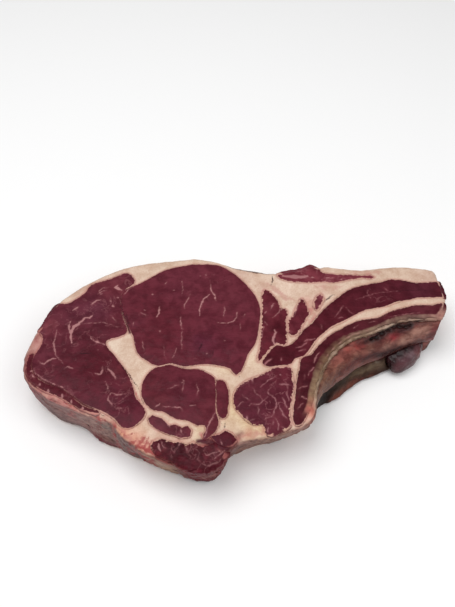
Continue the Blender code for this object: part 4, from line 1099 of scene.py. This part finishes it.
fat = {
    "voxel": 1.05, "keep": 0.57, "relief": ((0.5, 6.0), (0.2, 1.8)), "sideRelief": ((0.9, 8.0),),
    "rough": 0.5, "bump": 0.4, "shine": 0.12, "coat": 0.03,
}

fatPiece = copyNode("fat", "fatAndFascia")
dressSolid(fatPiece, fat)
meatRims = np.concatenate(list(rims.values()))

# the pockets' walls lie behind the meat and need few faces
places, normals = spread(fatPiece)
upright = (np.abs(normals[:, 2]) < 0.4) & (np.abs(places[:, 2] - 20) < 16)
hidden = fatPiece.vertex_groups.new(name="hidden")
pocket = upright & (rimDistance(places, meatRims) < pocketReach)
hidden.add(np.flatnonzero(pocket).tolist(), 1.0, "REPLACE")
lighten = fatPiece.modifiers.new("lighten", "DECIMATE")
lighten.ratio = fat["keep"]
lighten.vertex_group = "hidden"
applyModifiers(fatPiece)
fatPiece.vertex_groups.clear()

places, normals = spread(fatPiece)
nearMeat = rimDistance(places, meatRims)
wall = 1 - ramp(np.abs(normals[:, 2]), 0.35, 0.75)
outerWall = wall * ramp(nearMeat, 2.0, 4.0) * tornSide(places)
wrinkle(fatPiece, ((1.5, 5.0), (0.6, 2.2)), outerWall)
moveOut(fatPiece, 0.6 * wall * (nearMeat < 2))
base = fatTones(places)
bare = softLines(places, bareSeams, 0.1, 1.2)
base += bare[:, None] * (seamRed - base)
base += wall[:, None] * (wallTint(places) - base)
storeColour(fatPiece, "tint", base)
store(fatPiece, "wall", wall)
store(fatPiece, "torn", wall * tornSide(places))
frays, frayPower = strokes(places, redStreaks)
store(fatPiece, "fray", frays)
store(fatPiece, "frayPower", frayPower)
strip = spotShare(places, creamStrip)
fringe = (1 - ramp(nearMeat, 0.5, 2.6)) * (1 - wall) * (1 - strip) * (1 - bare)
pink = softLines(places, pinkLines, 1.0, 1.4)
store(fatPiece, "stain", np.clip(0.55 * fringe + pink * (1 - wall), 0, 1))
# strokes for the painted shade along seams and the fat's far rim, near the upper cut face only
creaseShade, creaseShadePower = strokes(places, seamShadeLines)
store(fatPiece, "creaseShade", creaseShade)
store(fatPiece, "creaseShadePower", creaseShadePower * ramp(places[:, 2], 36, 39))
finishPiece(fatPiece, "fat", fatMaterial("fatSurface", fat))
print("fat dressed")


# the rib and what lies along its side

sidePieces = {
    "rib_bone": {
        "piece": "ribSkin", "slot": "bone", "dent": 2.4, "depth": (0.94, 0.76, 0.79), "voxel": 0.75,
        "grow": 0.5, "tone": (116, 70, 60),
        "relief": ((1.0, 9.0), (0.5, 3.0)), "sideRelief": (), "turn": -25, "scale": (0.4, 1, 1),
        "patch": 170.0,
        "dark": (0.55, 0.42, 0.43), "light": (1.24, 1.32, 1.34), "speck": 0.25,
        "rough": 0.4, "bump": 0.6, "shine": 0.2, "coat": 0.06,
        "spots": [
            (50, -30, 30, 13, 1, (118, 84, 62), 0.85), (58, -14, 30, 12, 1, (120, 84, 62), 0.85),
            (63, -8, 33, 5, 1, (134, 84, 70), 0.7), (57, -21, 34, 5, 1, (124, 80, 66), 0.7),
            (70, -1, 34, 6, 0.8, (136, 74, 64), 0.8), (76, 5, 34, 6, 0.8, (132, 72, 64), 0.8),
            (85, 9.5, 33, 6, 0.8, (126, 70, 60), 0.8), (78.7, 9, 35.8, 3, 0.6, (140, 62, 54), 0.8),
            (86, 12.2, 35.3, 3.4, 0.7, (138, 52, 48), 0.9), (91, 14.2, 34.9, 3.6, 0.7, (140, 50, 48), 0.9),
            (97.5, 12.8, 31.1, 5, 0.7, (140, 96, 82), 0.85), (104, 16, 31.5, 4, 0.7, (128, 72, 64), 0.8),
            (106, 20, 33.6, 3.6, 0.7, (120, 38, 40), 0.9), (110, 17.2, 29.7, 5, 0.7, (146, 104, 90), 0.9),
            (114.8, 22.8, 33.6, 4.6, 0.7, (138, 42, 48), 0.98),
            (120, 24.6, 33.4, 3.6, 0.7, (112, 32, 38), 0.92),
            (124.7, 22.1, 27, 5, 0.7, (146, 104, 90), 0.85),
            (129.4, 24.6, 28.6, 6, 0.8, (150, 106, 92), 0.85),
            (134.7, 28, 32, 6, 0.8, (152, 108, 94), 0.85), (141.8, 29.5, 32, 5, 0.8, (152, 110, 96), 0.85),
            (134, 29.6, 35, 3, 0.6, (128, 52, 52), 0.7), (148.4, 30, 31, 4.4, 1, (108, 46, 50), 0.85),
            (148.3, 28.3, 23.8, 5, 1, (112, 50, 54), 0.8), (145, 30, 15, 5, 1, (112, 60, 60), 0.7),
            (85.3, 6.4, 29.6, 4, 0.7, (136, 92, 78), 0.7), (73, -3, 30, 5, 0.7, (124, 82, 66), 0.7),
            # the dark spots from here down to z 20, along the rib's lower border, are painted shade under the
            # rib
            (70, -8, 26.6, 6, 0.35, (84, 44, 36), 0.8), (75, -3, 26.6, 6, 0.35, (84, 38, 34), 0.9),
            (81, 2, 26.4, 6, 0.35, (84, 34, 32), 0.9), (88, 6, 26, 6, 0.4, (74, 26, 26), 0.95),
            (95, 9, 25, 6, 0.4, (74, 26, 26), 0.95), (102.8, 11.4, 24, 7, 0.55, (58, 16, 17), 0.97),
            (109.7, 13.9, 22.6, 7, 0.65, (46, 11, 14), 0.97), (116, 16.8, 21.6, 6, 0.65, (46, 12, 15), 0.97),
            (122, 19.4, 21, 5, 0.65, (44, 14, 16), 0.95), (130, 22.6, 20, 5, 0.6, (52, 20, 21), 0.85),
            (137, 26, 20, 4, 0.6, (84, 42, 42), 0.7),
        ],
    },
    "intercostal_lower": {
        # it lies under the rib: its dark tone and deep depth factors are partly the membrane's own colour,
        # partly painted shadow under the rib
        "piece": "lowerMembrane", "slot": "membrane", "dent": 1.4, "depth": (0.64, 0.46, 0.38),
        "voxel": 0.75, "grow": 0.5, "tone": (66, 50, 42),
        "relief": ((0.9, 7.0), (0.4, 2.4)), "sideRelief": ((1.0, 9.0),), "turn": -28, "scale": (0.5, 1, 1),
        "patch": 140.0, "dark": (0.6, 0.5, 0.46), "light": (1.3, 1.34, 1.3), "speck": 0.3,
        "rough": 0.5, "bump": 0.5, "shine": 0.1, "coat": 0.02,
        # the darkest brown spots at the front are partly the membrane's own dark green-brown, partly painted
        # shadow under the rib; the near-black spots from x 111 to 134 are painted shade in the gap beside the
        # stub; the lighter olive-grey spots from x 87 to 108 are a painted sheen
        "spots": [
            (71, -7.6, 15.6, 8, 0.8, (50, 38, 30), 0.9), (66, -12.5, 16, 7, 1, (32, 22, 18), 0.97),
            (62, -18, 12, 8, 1.2, (26, 16, 14), 0.98), (60, -22, 6, 8, 1.2, (30, 18, 15), 0.95),
            (78, -4, 16, 6, 0.8, (56, 42, 33), 0.85), (87, 3.4, 14, 6, 0.7, (92, 74, 58), 0.85),
            (91, 5, 10.7, 6, 0.7, (94, 76, 60), 0.8), (98.5, 9.6, 15, 5, 0.5, (88, 58, 50), 0.8),
            (99, 8.6, 11.2, 6, 0.6, (96, 78, 62), 0.8), (108, 12, 10.6, 5, 0.7, (100, 80, 66), 0.8),
            (104.6, 12, 14, 2, 0.6, (126, 112, 100), 0.7), (72, -13, 4, 6, 0.6, (116, 62, 50), 0.9),
            (79, -7, 5, 6, 0.5, (112, 58, 46), 0.85), (86, -1.4, 5, 6, 0.5, (104, 54, 44), 0.85),
            (93.5, 2.4, 3, 4, 0.6, (84, 30, 28), 0.85), (101, 6.4, 4, 5, 0.6, (96, 56, 46), 0.7),
            (114, 12.4, 12, 4, 1.4, (22, 9, 10), 0.95), (117, 15, 17, 4, 0.9, (20, 8, 9), 0.97),
            (122, 18, 19.4, 4.6, 0.8, (20, 8, 9), 0.97), (128, 21.4, 19.6, 4.6, 0.8, (24, 9, 10), 0.95),
            (134, 23.8, 17.4, 4.4, 0.8, (36, 16, 16), 0.85), (139, 25.6, 15, 3, 0.9, (150, 92, 86), 0.85),
            (146, 29, 12, 5, 1, (140, 84, 80), 0.85), (148, 27, 5, 6, 1, (112, 62, 58), 0.8),
            (60, -25, 22, 6, 1, (84, 60, 46), 0.7), (111, 12.4, 17, 4, 0.7, (44, 22, 20), 0.85),
        ],
    },
    "muscle_stub": {
        "piece": "stubEnd", "slot": "stub", "dent": 0.4, "depth": (0.56, 0.34, 0.38), "voxel": 0.5,
        "grow": 0.4, "tone": (84, 52, 56),
        "relief": ((1.4, 8.0), (0.4, 3.0)), "sideRelief": (), "turn": 20, "scale": (0.6, 1, 1),
        "patch": 120.0,
        "dark": (0.72, 0.62, 0.66), "light": (1.2, 1.24, 1.22), "speck": 0.2,
        "rough": 0.34, "bump": 0.16, "shine": 0.22, "coat": 0.1,
        # the pale mauve-grey spot on top is a painted glossy reflection; the near-black spots are painted
        # shade in the gap around the stub
        "spots": [
            (131.5, 16.4, 16.6, 5, 0.9, (122, 100, 104), 0.9),
            (136.5, 21.6, 16.6, 4, 0.9, (104, 66, 70), 0.85),
            (139.5, 20, 13, 4, 1, (120, 62, 62), 0.8), (125, 12.6, 14.8, 4, 0.9, (96, 64, 70), 0.85),
            (120, 9.6, 10, 4, 1, (92, 52, 58), 0.8), (128, 10.6, 9, 5, 1, (84, 46, 52), 0.8),
            (135, 15, 8, 5, 1, (92, 48, 52), 0.8), (114, 10.6, 9.8, 3.4, 1.6, (20, 8, 10), 0.97),
            (117.6, 12.6, 15, 3.4, 1, (20, 8, 10), 0.97), (121.5, 16.4, 17.4, 3.4, 0.8, (20, 8, 10), 0.97),
            (126.4, 20.4, 18.6, 3.2, 0.7, (22, 9, 11), 0.95), (131.4, 22.8, 18, 2.8, 0.7, (34, 14, 16), 0.9),
            (118, 7, 4, 5, 0.8, (70, 34, 36), 0.8), (130, 10, 3, 6, 0.8, (60, 30, 32), 0.8),
        ],
    },
}
for nodeName, look in sidePieces.items():
    piece = copyNode(nodeName, look["piece"])
    dressSolid(piece, look)
    places, normals = spread(piece)
    base = np.tile(tone(*look["tone"]), (len(places), 1))
    if nodeName == "intercostal_lower":  # its cut faces are bare muscle, only its side is skinned
        cutFace = ramp(np.abs(normals[:, 2]), 0.5, 0.8)
        base += cutFace[:, None] * (bareMuscle - base)
    # the rib's gap is painted near-black as shade on these pieces too
    base = blendSpots(places, base * look["depth"], look["spots"] + ribGapShade, 0.8)
    storeColour(piece, "tint", base)
    moveOut(piece, -look["dent"] * ramp(-base.sum(1), -0.06, -0.022))  # the darkest places are gaps
    finishPiece(piece, nodeName, skinMaterial(look["piece"] + "Surface", look))
print("rib side dressed")


# floor, light and camera

studio = {
    "floorHalf": 2.5, "floorTone": 0.97, "world": 0.4,
    "key": ((-0.35, 0.05, 1.2), 1.0, 8.5), "fill": ((0.5, -0.35, 1.0), 0.9, 4.0),
}
bpy.ops.object.select_all(action="DESELECT")
bpy.ops.mesh.primitive_plane_add(size=2 * studio["floorHalf"], location=(0, 0, 0))
floor = bpy.context.object
floor.name = "floor"
floorMaterial = bpy.data.materials.new("paleFloor")
floorMaterial.use_nodes = True
floorShader = floorMaterial.node_tree.nodes["Principled BSDF"]
floorShader.inputs["Base Color"].default_value = (studio["floorTone"],) * 3 + (1,)
floorShader.inputs["Roughness"].default_value = 0.9
floorShader.inputs["Specular IOR Level"].default_value = 0.0
floor.data.materials.append(floorMaterial)
floor.location.z = -0.0006
pick(floor)
bpy.ops.object.transform_apply(location=True, rotation=True, scale=True)
floor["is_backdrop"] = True

for lightName in ("key", "fill"):
    (x, y, z), size, watts = studio[lightName]
    bpy.ops.object.light_add(type="AREA", location=(x, y, z))
    light = bpy.context.object
    light.name = lightName
    light.data.shape = "DISK"
    light.data.size = size
    light.data.energy = watts
    light.rotation_euler = Vector((-x, -y, -z)).to_track_quat("-Z", "Y").to_euler()

world = bpy.data.worlds.new("studio")
world.use_nodes = True
world.node_tree.nodes["Background"].inputs["Color"].default_value = (1, 1, 1, 1)
world.node_tree.nodes["Background"].inputs["Strength"].default_value = studio["world"]
bpy.context.scene.world = world
bpy.context.scene.view_settings.view_transform = "Standard"

bpy.ops.object.camera_add(location=(-0.01028, -0.27332, 0.47577), rotation=(math.radians(36), 0, 0))
camera = bpy.context.object
camera.data.lens = 41.515
camera.data.sensor_width = 36
camera.data.sensor_fit = "AUTO"
camera.data.clip_start = 0.01
camera.data.dof.use_dof = False
bpy.context.scene.camera = camera
print("studio set")

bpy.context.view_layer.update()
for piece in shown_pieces():
    if piece.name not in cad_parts:
        print(piece.name, sum(len(face.vertices) - 2 for face in piece.data.polygons), "triangles")
